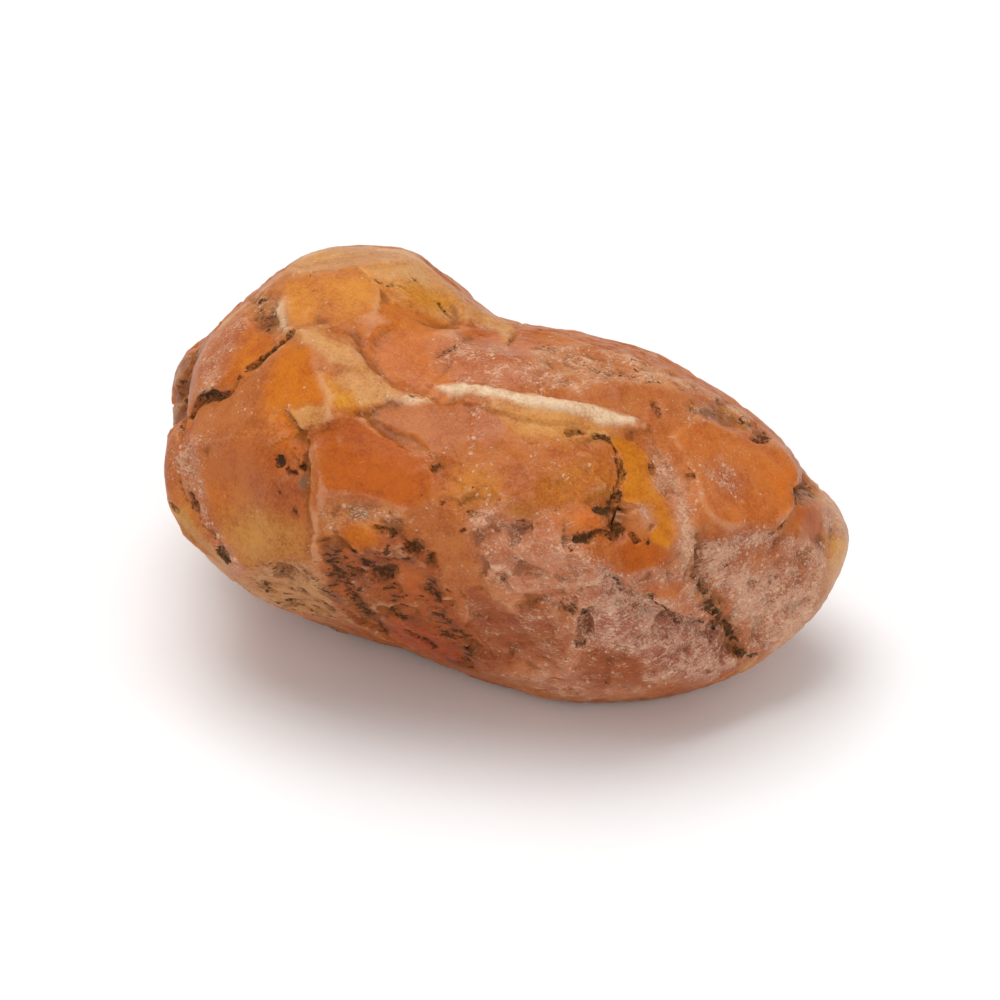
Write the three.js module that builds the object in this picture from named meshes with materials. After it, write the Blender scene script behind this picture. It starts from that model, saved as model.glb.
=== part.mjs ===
// A raw carnelian: one hand-sized stone, as it comes out of the gravel, neither cut nor polished.
// It is a single solid. Four lobes grow into each other: a humped crest, a thin flake on its outer end,
// a shoulder in front and a long body with a toe at its far end. Each lobe is bounded by broken faces,
// slightly domed or hollow, and the skin then takes its cracks, steps, ridges, pits and lumps.
// The stone lies on its flattest side with its longest way along X, and Z is up. Millimetres throughout.

import * as THREE from 'three';
import { ImprovedNoise } from 'three/addons/math/ImprovedNoise.js';
import { mergeVertices } from 'three/addons/utils/BufferGeometryUtils.js';

// Driving dimensions of the finished stone.
const length = 61;
const width = 41.5;
const height = 33.5;

// How the lobes meet: a bigger number gives a softer valley between them.
const flakeValley = 0.3;
const shoulderValley = 0.4;
const bodyValley = 1.2;
const toeValley = 0.4;
const footEdge = 0.5;
const scarEdge = 0.1;
const scarLean = 0.35;

// The skin: a net of triangles shrunk onto the stone from around a point well inside it.
const heart = new THREE.Vector3(1, -7.5, 19);
const netDetail = 19;
const netStretch = new THREE.Vector3(1, 0.6, 0.58);
const relaxRounds = 30;
const relaxPull = 0.6;
const crowding = 2.2;
const crowdingReach = 3;
const brokenSide = new THREE.Vector3(0.4, -0.7, 0.6);
const frontCrowding = 1.5;
const frontStart = -6;
const frontEnd = 8;
const castStart = 45;
const castSteps = 60;
const castStride = 0.8;
const leastStride = 0.002;
const probeReach = 0.02;
const gentlestRise = 0.2;
const longestMove = 1;

// How the marks lie on it.
const markSpacing = 0.8;
const brinkStart = -0.3;
const brinkEnd = 0.5;
const stepFade = 1.5;

// Low swells all over the skin.
const swellLength = 9;
const swellHeight = 0.35;
const rippleLength = 3.6;
const rippleHeight = 0.14;

const degree = Math.PI / 180;

// A broken face: a point on it, the way it looks (its turn around Z from +X and its rise from level,
// in degrees) and the radius of its dome, which is below zero where the face is hollow.
function face(x, y, z, turn, rise, dome) {
  const level = Math.cos(rise * degree);
  const normal = new THREE.Vector3(
    level * Math.cos(turn * degree),
    level * Math.sin(turn * degree),
    Math.sin(rise * degree),
  );
  return { at: new THREE.Vector3(x, y, z), normal, dome };
}

// The highest lobe: a crest with a steep outer flank and a hollow saddle toward the body.
const hump = {
  edge: 0.3,
  faces: [
    face(-25, -4, 27, -177, 41, 150), // outer flank under the crest
    face(-22.5, 2.5, 29.5, 161, 51, 60), // crest, outer end
    face(-19.5, 7, 29, 116, 57, 40), // crest, rear end
    face(-10.8, 7.2, 27.6, 62, 40, -50), // long slope down to the saddle
    face(-25.5, -12, 21.5, -152, 11, 60), // outer wall
    face(-20.5, -12, 30, -141, 46, 90), // outer flank above the seam
    face(-8, -4.5, 32, 8, 62, -60), // hollow scar behind the shoulder
    face(-14.5, -5.5, 33, -124, 73, 60), // amber top face
    face(-9.5, 3.5, 31.5, 41, 55, 60), // pale crest patch
    face(-18.5, -8.5, 31.5, -139, 62, 60), // bevel beside the amber face
    face(-12, -15, 17.5, -80, -10, 60),
    face(3.5, 2.5, 23.5, 12, 24, 60),
    face(-14, 16.5, 18, 98, 14, 60), // rear wall
    face(-28, 8, 12, 143, 6, 50), // rear outer corner
    face(4, 14.5, 16, 63, 6, 50),
    face(-19, -17.5, 10, -113, -32, 60),
  ],
};

// A thin flake that stands off the outer end of the hump.
const flake = {
  edge: 0.3,
  faces: [
    face(-27.7, -11.6, 20, -146, 6, 60),
    face(-28.4, -8.2, 23.1, -168, 33, 30),
    face(-25, -14, 22.5, -118, 32, 60),
    face(-26, -14, 17.5, -101, -36, 60),
    face(-21.5, -15.5, 17.5, -76, -22, 60),
    face(-8, 0, 14, 0, 0, 60),
    face(-24, 7, 14, 114, 8, 50),
    face(-28.5, -5.5, 22.8, 145, 63, 60),
  ],
};

// The shoulder: a blunt prow in front of the hump, with the smooth hollow window on its outer side.
const shoulder = {
  edge: 0.3,
  faces: [
    face(-16.5, -16.5, 30, -172, 40, 150), // bevel along the seam
    face(-12.5, -12, 34, 137, 64, 25), // arched top edge
    face(-5.5, -11.5, 32, 63, 50, 90), // slope into the scar
    face(-24.5, -16.5, 19, -143, 5, 60), // outer end
    face(-8, -15, 32, -37, 69, 60), // yellow window
    face(-14.5, -18, 27.5, -116, 43, 80), // brown face above the hollow
    face(-13.5, -21.5, 21.5, -107, 16, -60), // smooth hollow window
    face(-0.5, -19, 27.5, -74, 24, 120), // broad front face
    face(-4.5, -21.5, 14.5, -73, -21, 60), // undercut front
    face(-18.4, -20.4, 13.1, -112, -29, 50),
    face(-7.5, -18.2, 8.9, -79, -47, 120),
    face(4, -13, 28.5, -28, 44, 60),
    face(8.5, -11.5, 17, -30, -19, 60),
    face(-10, 0, 8, 90, 0, 60),
  ],
};

// The body: the long, broad half of the stone.
const body = {
  edge: 0.5,
  faces: [
    face(0.5, 10.8, 25, 107, 58, 120), // rear slope at the saddle
    face(9, 14.3, 22.4, 72, 49, 120), // rear slope
    face(18.5, 16, 17.5, 50, 29, 80), // rear slope at the toe
    face(25.5, 11.5, 10, 19, -9, 50),
    face(25.5, 7.5, 5, 4, -26, 60),
    face(19.9, -1.9, 1.6, -31, -46, 80),
    face(13.8, -7.2, 1.4, -53, -49, 80),
    face(6.5, -12, 3.5, -87, -45, 200),
    face(12.5, -13.5, 28, -59, 45, 80), // upper front
    face(17.5, -14, 15.5, -62, -7, 90), // lower front
    face(13, 0.5, 30, 2, 79, 150), // top
    face(22.5, 0.5, 23.5, -12, 51, 90), // top toward the toe
    face(26.5, 1, 13, -21, 0, 80), // end wall
    face(3, -17.5, 27, -79, 24, 90), // front beside the shoulder
    face(21.5, -8, 24, -36, 30, 60), // right of the long crack
    face(0.5, -18, 12, -80, -23, 90),
    face(1.5, -14.5, 29.5, -73, 51, 90), // face under the sheared ridge
    face(0, -6, 31.5, -105, 71, -60), // hollow toward the scar
    face(4, 15.5, 16, 93, 9, 70), // rear wall
    face(24, 13.5, 16, 62, 17, 50),
    face(-18, 0, 8, 180, 0, 60),
  ],
};

// The toe: a thin scuffed rim that sticks out past a notch at the far end.
const toe = {
  edge: 0.8,
  faces: [
    face(28.5, 13.8, 11.5, 22, -5, 60),
    face(29.5, 9.5, 7.5, 8, -22, 40),
    face(24.4, 16, 14.5, 53, 42, 40),
    face(24.8, 3.2, 3.7, -41, -44, 40),
    face(26.5, 5, 5, -8, -30, 40),
    face(27.9, 6, 13.6, -15, 17, 50),
    face(25, 7.5, 17.5, 12, 66, 60),
    face(30.9, 10.4, 10, 29, 0, 30),
    face(24.2, 15.3, 12.2, 73, 16, 40),
    face(10, 0, 10, 180, 0, 60),
  ],
};

// The underside that trims every lobe: a bed face, just under level zero, and the bevels around it.
const underside = {
  edge: 0.3,
  faces: [
    face(0, 0, -0.6, 0, -90, 1e6),
    face(-22, 2, 4, 171, -51, 60),
    face(-6, 13, 4, 99, -48, 60),
    face(20, 10, 4, 45, -45, 60),
    face(25.5, -2, 5.4, -15, -40, 60),
    face(-18, -12, 4, -135, -45, 60),
  ],
};

// Long marks on the skin, each along a few points. A crack is cut in.
function crack(wide, deep, path) {
  return { kind: 'crack', wide, deep, path };
}

// A rib stands up from the skin.
function rib(wide, high, path) {
  return { kind: 'rib', wide, high, path };
}

// A step drops the skin on the side that toward points to, and the drop runs out over some millimetres.
function step(drop, run, toward, path) {
  return { kind: 'step', drop, run, toward, path };
}

const marks = [
  // The dark seam between the outer flank and the shoulder.
  crack(0.8, 0.9, [[-21, -18, 24], [-18, -16, 28], [-15.5, -14, 31], [-13.5, -12.5, 33]]),
  // The arched edge of the shoulder, which stands over the scar behind it.
  step(1.1, 5, [0.4, 0.9, 0.1], [[-13, -12, 33.5], [-9, -11, 33.5], [-5, -11.5, 32], [-1, -11, 30]]),
  // The pale ridge sheared along the top of the body.
  rib(0.9, 0.55, [[-1.5, -9, 29], [3, -8, 30.5], [8, -7, 31], [12, -5, 30], [16, -3, 28.5]]),
  // The long crack down the front of the body, and its two side cracks.
  crack(0.9, 0.8, [[11.5, -8, 30], [14.5, -7, 28.5], [16, -8, 26.5], [17.5, -10.5, 24], [18, -12, 22.5]]),
  crack(0.8, 0.7, [[18, -11.5, 24], [17, -12.5, 23.5], [15, -14, 23.5]]),
  crack(0.8, 0.5, [[18, -10.5, 24], [19.5, -10.5, 22.5]]),
  // The smooth yellow channel beside the long crack.
  crack(2.2, 0.5, [[17.5, -5, 27], [19, -6.5, 25], [20, -8.5, 23]]),
  // The Y-shaped pit low on the front.
  crack(1.1, 1.1, [[15, -15, 18], [16.5, -15, 16], [16.5, -14.5, 13]]),
  crack(0.8, 0.6, [[16.5, -14.5, 15.5], [17.5, -14, 17.5]]),
  // The crack down the corner between the hollow window and the front face.
  crack(0.7, 0.6, [[-8, -19.5, 29], [-7, -21, 26], [-6.5, -22, 24]]),
  // Cracks in the dark, iron-stained foot of the shoulder.
  crack(0.8, 0.6, [[-4, -22.5, 21], [-1.5, -22.5, 20.5], [0.5, -21.5, 19]]),
  crack(0.8, 0.5, [[-11.5, -23, 16.5], [-9, -23.5, 18], [-7, -23, 20]]),
  // The fold where the shoulder's foot meets the body.
  crack(1.2, 0.5, [[5, -18.5, 24], [6, -19, 20], [7, -18, 16], [7.5, -15, 9]]),
  // The flaked step under the long crack.
  step(0.9, 4, [-0.3, -0.4, -0.9], [[18.5, -12.5, 21], [19.5, -12.5, 18], [21.5, -10, 15.5], [24, -5.5, 13]]),
  // The rough ledge that the flaked step runs into.
  step(1, 5, [0.8, 0.5, 0.1], [[22.5, -6.5, 20.5], [23.5, -6, 17], [24.5, -4.5, 13], [26, -1.5, 8]]),
  // The chipped edge that drops from the crest patch to the scar.
  step(0.5, 5, [-0.3, -0.9, -0.2], [[-14, -2, 34], [-10.5, -1.5, 32], [-7, -0.5, 30], [-3.5, 1.5, 28]]),
  // The scuffed curl where the body ends at the toe.
  step(0.6, 3, [0.9, 0.1, -0.3], [[25.5, 1, 19], [26, 3.5, 20], [25, 7, 20.5]]),
  // The raised, scuffed rim around the hollow window.
  rib(1.2, 0.5, [[-22.5, -18, 23], [-21.5, -20, 19.5], [-19, -22, 16.5], [-15, -23, 15.5]]),
];

// Scars where a flake has sprung off: a shallow bowl with a crisp rim. Each has a place, how far it
// reaches, how deep it goes, and the way it leans, so that one side is a step and the other fades out.
const scars = [
  // The pale chip above the hollow window.
  { at: [-8, -19, 29.5], reach: 2.4, deep: 0.6, lean: [0.1, 0, -0.5] },
  // The scuffed scar beside the yellow window.
  { at: [-6.5, -14, 32], reach: 2.6, deep: 0.5, lean: [0.4, -0.1, 0.2] },
  // The smooth face between shoulder and body.
  { at: [0.5, -14, 29], reach: 4, deep: 0.5, lean: [0, -0.3, 0.2] },
  // The upper front of the body.
  { at: [7.5, -13, 28.5], reach: 3, deep: 0.5, lean: [-0.3, -0.2, 0] },
  { at: [13, -12.5, 26.5], reach: 2.8, deep: 0.5, lean: [0.2, 0, -0.4] },
  { at: [11, -17, 23], reach: 3, deep: 0.5, lean: [-0.4, 0, -0.3] },
  // The lower front.
  { at: [13, -16.5, 17], reach: 4.5, deep: 0.7, lean: [0.2, -0.1, -0.4] },
  { at: [19, -11.5, 11.5], reach: 4, deep: 0.6, lean: [-0.2, -0.2, -0.4] },
  { at: [8, -16, 9], reach: 4, deep: 0.6, lean: [0.3, 0, 0.3] },
  // The end wall.
  { at: [26, -0.5, 14], reach: 3.5, deep: 0.5, lean: [0, 0.4, 0.2] },
  // The smooth face at the far top, and the top beside it.
  { at: [22.5, 1, 24], reach: 4.5, deep: 0.5, lean: [0.3, 0, -0.2] },
  { at: [17.5, 4.5, 27.5], reach: 3, deep: 0.4, lean: [0, 0.5, 0] },
  // The saddle, the crest and the amber face.
  { at: [1.5, -2.5, 31], reach: 3.5, deep: 0.5, lean: [-0.3, 0.3, 0] },
  { at: [-9, 2, 32], reach: 3.5, deep: 0.5, lean: [0.3, 0.1, -0.2] },
  { at: [-14.5, -4.5, 33.5], reach: 3.4, deep: 0.5, lean: [0.2, -0.3, 0] },
  // The foot of the shoulder.
  { at: [2, -20, 16.5], reach: 3.5, deep: 0.7, lean: [0.2, 0, 0.5] },
  { at: [-8, -21.5, 13], reach: 4, deep: 0.6, lean: [0, 0.1, -0.5] },
  // The broad front face.
  { at: [-1, -20, 25.5], reach: 4, deep: 0.4, lean: [0.2, 0, -0.3] },
  // The outer end.
  { at: [-24, -9, 17], reach: 3.5, deep: 0.5, lean: [-0.3, 0.3, 0.2] },
  { at: [-25, 3, 20], reach: 5, deep: 0.8, lean: [0.2, 0.3, 0.4] },
  // The rear wall.
  { at: [-12, 15, 21], reach: 5, deep: 0.8, lean: [0.4, 0, -0.3] },
  { at: [3, 14, 20], reach: 5, deep: 0.7, lean: [-0.4, 0, 0.3] },
  { at: [15, 15, 17], reach: 5, deep: 0.8, lean: [0.2, 0, -0.5] },
  { at: [-4, 15, 10], reach: 5, deep: 0.8, lean: [0.3, 0, 0.4] },
];

// Small hollows: where each is, how far it spreads and how deep it goes.
const pits = [
  { at: [-6.5, -21.5, 25.5], spread: 1, deep: 0.6 },
  { at: [-9.5, -21, 26.5], spread: 1.2, deep: 0.6 },
  { at: [-8, -14.5, 32.5], spread: 1, deep: 0.5 },
  { at: [3.5, -16, 27], spread: 1, deep: 0.6 },
  { at: [1, -21, 22.5], spread: 1.2, deep: 0.4 },
  { at: [4.5, -19.5, 20.5], spread: 1.4, deep: 0.6 },
  { at: [11.5, -15.5, 24.5], spread: 1.5, deep: 0.4 },
  { at: [20, -3.5, 25], spread: 0.8, deep: 0.4 },
  { at: [-18.5, -10, 31], spread: 1.6, deep: 0.6 },
  { at: [20.5, 6, 24.5], spread: 1.3, deep: 0.6 },
  { at: [23.5, 10, 18], spread: 1.6, deep: 0.7 },
  { at: [-22.5, 10, 20], spread: 3, deep: 0.8 },
  { at: [10, 16, 15], spread: 4, deep: 0.9 },
  { at: [-4, 15.5, 11], spread: 3, deep: 0.7 },
];

const offset = new THREE.Vector3();

// How far a point stands outside a domed face; below zero is inside.
function outsideFace(point, { at, normal, dome }) {
  offset.subVectors(point, at);
  const out = offset.dot(normal);
  return out + (offset.lengthSq() - out * out) / (2 * dome);
}

// A lobe is what lies inside all of its faces, with its edges rounded.
function outsideLobe(point, { edge, faces }) {
  const each = faces.map((one) => outsideFace(point, one));
  const most = Math.max(...each);
  const rounding = each.reduce((sum, value) => sum + Math.exp((value - most) / edge), 0);
  return most + edge * Math.log(rounding);
}

// Two solids grown together, with a soft valley between them.
function grown(one, other, valley) {
  const share = THREE.MathUtils.clamp(0.5 + (other - one) / (2 * valley), 0, 1);
  return other * (1 - share) + one * share - valley * share * (1 - share);
}

// What is inside both of two solids, with the edge between them rounded.
function trimmed(one, other, edge) {
  const most = Math.max(one, other);
  return most + edge * Math.log(Math.exp((one - most) / edge) + Math.exp((other - most) / edge));
}

// How far a point stands outside the stone before its skin is marked.
function outsideBareStone(point) {
  let out = outsideLobe(point, hump);
  out = grown(out, outsideLobe(point, flake), flakeValley);
  out = grown(out, outsideLobe(point, shoulder), shoulderValley);
  out = grown(out, outsideLobe(point, body), bodyValley);
  out = grown(out, outsideLobe(point, toe), toeValley);
  return trimmed(out, outsideLobe(point, underside), footEdge);
}

const probe = new THREE.Vector3();

// The direction in which a field rises fastest at a point, and how fast.
function slope(field, point) {
  const rise = ['x', 'y', 'z'].map((axis) => {
    probe.copy(point);
    probe[axis] += probeReach;
    const ahead = field(probe);
    probe[axis] -= 2 * probeReach;
    return (ahead - field(probe)) / (2 * probeReach);
  });
  return new THREE.Vector3(...rise);
}

// Moves a point straight onto the surface where a field is zero.
function settle(field, point, moves) {
  for (let move = 0; move < moves; move += 1) {
    const rise = slope(field, point);
    const excess = THREE.MathUtils.clamp(field(point), -longestMove, longestMove);
    point.addScaledVector(rise, -excess / Math.max(rise.lengthSq(), gentlestRise));
  }
  return point;
}

// The points of a mark, laid on the bare stone along a smooth line.
function lineOnSkin(path) {
  const curve = new THREE.CatmullRomCurve3(path.map((point) => new THREE.Vector3(...point)));
  const count = Math.ceil(curve.getLength() / markSpacing);
  return curve.getSpacedPoints(count).map((point) => settle(outsideBareStone, point, 4));
}

const lines = marks.map((mark) => ({ ...mark, points: lineOnSkin(mark.path) }));
const hollows = pits.map(({ at, spread, deep }) => ({
  at: settle(outsideBareStone, new THREE.Vector3(...at), 4),
  spread,
  deep,
}));

// The ball whose lower side is the bowl of a scar.
const bowls = scars.map(({ at, reach, deep, lean }) => {
  const middle = settle(outsideBareStone, new THREE.Vector3(...at), 4);
  const outward = slope(outsideBareStone, middle).normalize();
  outward.addScaledVector(new THREE.Vector3(...lean), scarLean).normalize();
  const radius = (reach ** 2 + deep ** 2) / (2 * deep);
  return { centre: middle.addScaledVector(outward, radius - deep), radius };
});

const piece = new THREE.Line3();
const nearest = new THREE.Vector3();
const candidate = new THREE.Vector3();

// The distance from a point to a line of points; the place on the line is left in nearest.
function distanceToLine(point, points) {
  let best = Infinity;
  for (let i = 1; i < points.length; i += 1) {
    piece.set(points[i - 1], points[i]);
    piece.closestPointToPoint(point, true, candidate);
    const apart = candidate.distanceToSquared(point);
    if (apart < best) {
      best = apart;
      nearest.copy(candidate);
    }
  }
  return Math.sqrt(best);
}

// How deep a mark cuts at a point; below zero where it stands up.
function cutOfMark(point, mark) {
  const apart = distanceToLine(point, mark.points);
  if (mark.kind === 'crack') {
    return mark.deep * Math.exp(-((apart / mark.wide) ** 2));
  }
  if (mark.kind === 'rib') {
    return -mark.high * Math.exp(-((apart / mark.wide) ** 2));
  }
  const toward = offset.set(...mark.toward).normalize();
  const side = toward.dot(candidate.subVectors(point, nearest));
  const along = Math.sqrt(Math.max(apart * apart - side * side, 0));
  const brink = THREE.MathUtils.smoothstep(side, brinkStart, brinkEnd);
  return mark.drop * brink * Math.exp(-((side / mark.run) ** 2) - (along / stepFade) ** 2);
}

const noise = new ImprovedNoise();

// Swells and ripples of the skin, both ways from level.
function swell(point) {
  const low = noise.noise(point.x / swellLength, point.y / swellLength, point.z / swellLength + 7);
  const fine = noise.noise(point.x / rippleLength + 5, point.y / rippleLength, point.z / rippleLength);
  return swellHeight * low + rippleHeight * fine;
}

// How far a point stands outside the finished stone.
function outsideStone(point) {
  let out = outsideBareStone(point) + swell(point);
  for (const { centre, radius } of bowls) {
    out = trimmed(out, radius - centre.distanceTo(point), scarEdge);
  }
  for (const mark of lines) {
    out += cutOfMark(point, mark);
  }
  for (const { at, spread, deep } of hollows) {
    out += deep * Math.exp(-at.distanceToSquared(point) / spread ** 2);
  }
  return out;
}

// How finely the net should be drawn at a point: it crowds toward the marks and the broken front.
function fineness(point) {
  let most = 0;
  for (const mark of lines) {
    most = Math.max(most, Math.exp(-((distanceToLine(point, mark.points) / crowdingReach) ** 2)));
  }
  const toFront = offset.subVectors(point, heart).dot(brokenSide);
  const front = THREE.MathUtils.smoothstep(toFront, frontStart, frontEnd);
  return 1 + crowding * most + frontCrowding * front;
}

// The net: a stretched sphere of triangles, drawn onto the stone along rays from its heart.
function castNet() {
  const sphere = new THREE.IcosahedronGeometry(1, netDetail);
  sphere.deleteAttribute('normal');
  sphere.deleteAttribute('uv');
  const net = mergeVertices(sphere);
  const places = net.getAttribute('position');
  const ray = new THREE.Vector3();
  const points = [];
  for (let i = 0; i < places.count; i += 1) {
    ray.fromBufferAttribute(places, i).multiply(netStretch).normalize();
    let far = castStart;
    const point = new THREE.Vector3();
    for (let stride = 0; stride < castSteps; stride += 1) {
      point.copy(heart).addScaledVector(ray, far);
      far -= Math.max(outsideBareStone(point) * castStride, leastStride);
    }
    points.push(point);
  }
  return { net, points };
}

function neighboursOf(net, count) {
  const sets = Array.from({ length: count }, () => new Set());
  const corners = net.index.array;
  for (let i = 0; i < corners.length; i += 3) {
    for (let k = 0; k < 3; k += 1) {
      sets[corners[i + k]].add(corners[i + ((k + 1) % 3)]);
      sets[corners[i + ((k + 1) % 3)]].add(corners[i + k]);
    }
  }
  return sets.map((set) => [...set]);
}

// Evens out the net along the skin, closer where the skin has more to show.
function relax(points, neighbours, field) {
  const weights = points.map(fineness);
  const moved = points.map((point, i) => {
    const middle = new THREE.Vector3();
    let total = 0;
    for (const j of neighbours[i]) {
      middle.addScaledVector(points[j], weights[j]);
      total += weights[j];
    }
    const pull = middle.divideScalar(total).sub(point);
    const normal = slope(field, point).normalize();
    pull.addScaledVector(normal, -pull.dot(normal));
    return point.clone().addScaledVector(pull, relaxPull);
  });
  moved.forEach((point, i) => points[i].copy(settle(field, point, 1)));
}

function stoneGeometry() {
  const { net, points } = castNet();
  const neighbours = neighboursOf(net, points.length);
  for (let round = 0; round < relaxRounds; round += 1) {
    relax(points, neighbours, round < relaxRounds / 2 ? outsideBareStone : outsideStone);
  }
  points.forEach((point) => {
    settle(outsideStone, point, 3);
    point.z = Math.max(point.z, 0);
  });
  const geometry = new THREE.BufferGeometry().setFromPoints(points);
  geometry.setIndex(net.index.clone());
  return geometry;
}

// Brings the stone to its driving dimensions, standing on level zero in the middle of its outline.
function sized(geometry) {
  geometry.computeBoundingBox();
  const box = geometry.boundingBox;
  const extent = box.getSize(new THREE.Vector3());
  const middle = box.getCenter(new THREE.Vector3());
  geometry.translate(-middle.x, -middle.y, -box.min.z);
  geometry.scale(length / extent.x, width / extent.y, height / extent.z);
  geometry.computeVertexNormals();
  return geometry;
}

const carnelian = new THREE.MeshStandardMaterial({ color: 0xb8602c, roughness: 0.45, metalness: 0 });
const stone = new THREE.Mesh(sized(stoneGeometry()), carnelian);
stone.name = 'carnelian_stone';

const part = new THREE.Group();
part.add(stone);

export default part;
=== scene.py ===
import math
import random

import bmesh
import bpy
import numpy as np
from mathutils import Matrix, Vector, noise


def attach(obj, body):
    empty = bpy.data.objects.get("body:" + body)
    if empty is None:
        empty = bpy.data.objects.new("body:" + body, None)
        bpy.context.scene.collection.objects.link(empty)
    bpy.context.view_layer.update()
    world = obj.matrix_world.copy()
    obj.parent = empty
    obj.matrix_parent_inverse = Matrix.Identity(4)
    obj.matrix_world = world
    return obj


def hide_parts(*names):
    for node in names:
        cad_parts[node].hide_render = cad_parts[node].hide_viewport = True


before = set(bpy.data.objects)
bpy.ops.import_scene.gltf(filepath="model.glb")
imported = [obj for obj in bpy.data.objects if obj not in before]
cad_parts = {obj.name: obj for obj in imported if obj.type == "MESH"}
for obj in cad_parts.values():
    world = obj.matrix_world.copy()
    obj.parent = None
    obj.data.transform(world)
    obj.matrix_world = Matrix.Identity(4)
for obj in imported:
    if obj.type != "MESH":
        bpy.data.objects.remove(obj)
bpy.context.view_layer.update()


# ---------------------------------------------------------------------------------------------
# The rough lump. One piece of carnelian, a waxy orange chalcedony, broken out of a vein and
# rubbed in gravel, never cut. The frame gives its lobes and big scars; its skin is divided
# finely here, so that flakes, cracks and chips can be cut into it.

MM = 0.001
skin_divisions = 2
weld_reach = 0.001 * MM

carnelian = bpy.data.materials.new("carnelian")

lump = bmesh.new()
lump.from_mesh(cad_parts["carnelian_stone"].data)
bmesh.ops.remove_doubles(lump, verts=lump.verts, dist=weld_reach)
for side in lump.faces:
    side.smooth = True
lump_mesh = bpy.data.meshes.new("carnelian")
lump.to_mesh(lump_mesh)
lump.free()
stone = bpy.data.objects.new("carnelian", lump_mesh)
bpy.context.scene.collection.objects.link(stone)

divided = stone.modifiers.new("fine skin", "SUBSURF")
divided.levels = skin_divisions
divided.render_levels = skin_divisions


def settle(piece):
    """Turns a piece with live modifiers into a plain mesh."""
    graph = bpy.context.evaluated_depsgraph_get()
    mesh = bpy.data.meshes.new_from_object(piece.evaluated_get(graph))
    piece.modifiers.clear()
    piece.data = mesh
    return mesh


def read_points(mesh, name):
    """The places or the normals of a mesh, one row a point."""
    values = np.empty(len(mesh.vertices) * 3)
    mesh.vertices.foreach_get(name, values)
    return values.reshape(-1, 3)


skin_mesh = settle(stone)


# ---------------------------------------------------------------------------------------------
# The broken faces and their colours. Chalcedony breaks in flat and shell-shaped faces that meet
# in arrises, and iron stains it from honey through orange to brick, often from one face to the
# next. Bruised skin looks pink and chalky; dark iron oxide gathers in the low front.

wax_sheen = 0.022
darkest = 0.003


def stain(red, green, blue):
    """The pigment that looks this colour, 0 to 255, under the faint grey sheen of the wax."""
    seen = [((value / 255 + 0.055) / 1.055) ** 2.4 for value in (red, green, blue)]
    return [max(value - wax_sheen, darkest) for value in seen]


# Each finish: colour, how scuffed, how speckled, how rough.
finishes = {
    "ground": (stain(186, 108, 58), 0.40, 0.10, 0.50),
    "amber": (stain(208, 134, 60), 0.20, 0.00, 0.12),
    "honey": (stain(198, 120, 26), 0.12, 0.05, 0.08),
    "honey_dark": (stain(178, 108, 46), 0.20, 0.05, 0.20),
    "yellow": (stain(210, 142, 52), 0.15, 0.00, 0.15),
    "sand": (stain(206, 144, 80), 0.15, 0.00, 0.20),
    "scar": (stain(196, 112, 58), 0.30, 0.00, 0.15),
    "ember": (stain(198, 112, 44), 0.20, 0.00, 0.12),
    "flame": (stain(202, 108, 32), 0.15, 0.08, 0.15),
    "orange": (stain(180, 93, 28), 0.12, 0.00, 0.10),
    "deep": (stain(184, 95, 24), 0.08, 0.00, 0.08),
    "brown": (stain(184, 108, 60), 0.35, 0.04, 0.25),
    "hollow": (stain(180, 100, 54), 0.10, 0.00, 0.05),
    "hollow_shade": (stain(170, 94, 56), 0.12, 0.15, 0.10),
    # Painted light: a paler yellow standing for light shining through the thin stone.
    "painted_glow": (stain(188, 128, 66), 0.04, 0.00, 0.03),
    # Painted glint: a grey spot standing for the silvery glint of a small grain.
    "painted_glint": (stain(124, 122, 110), 0.00, 0.00, 0.00),
    "bone": (stain(220, 188, 154), 0.20, 0.00, 0.10),
    "cream": (stain(218, 178, 140), 0.30, 0.00, 0.30),
    "straw": (stain(204, 144, 86), 0.40, 0.06, 0.35),
    "chalk": (stain(198, 140, 108), 0.90, 0.05, 0.60),
    "pink": (stain(184, 114, 80), 0.80, 0.20, 0.60),
    "bruise": (stain(188, 112, 72), 0.75, 0.10, 0.20),
    "lump": (stain(194, 118, 52), 0.38, 0.20, 0.50),
    "frost": (stain(182, 108, 76), 1.00, 0.04, 0.65),
    "rose": (stain(196, 126, 92), 0.75, 0.20, 0.70),
    "mauve": (stain(168, 100, 80), 0.90, 0.06, 0.60),
    "russet": (stain(160, 88, 54), 0.50, 0.06, 0.50),
    "rust": (stain(164, 88, 48), 0.20, 1.00, 0.60),
    "umber": (stain(154, 88, 46), 0.30, 0.70, 0.60),
    "red": (stain(162, 76, 36), 0.12, 0.40, 0.40),
    "tan": (stain(186, 130, 84), 0.30, 0.65, 0.60),
    "grit": (stain(178, 114, 68), 0.45, 0.85, 0.90),
    "fawn": (stain(202, 132, 84), 0.75, 0.40, 0.60),
}

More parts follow.
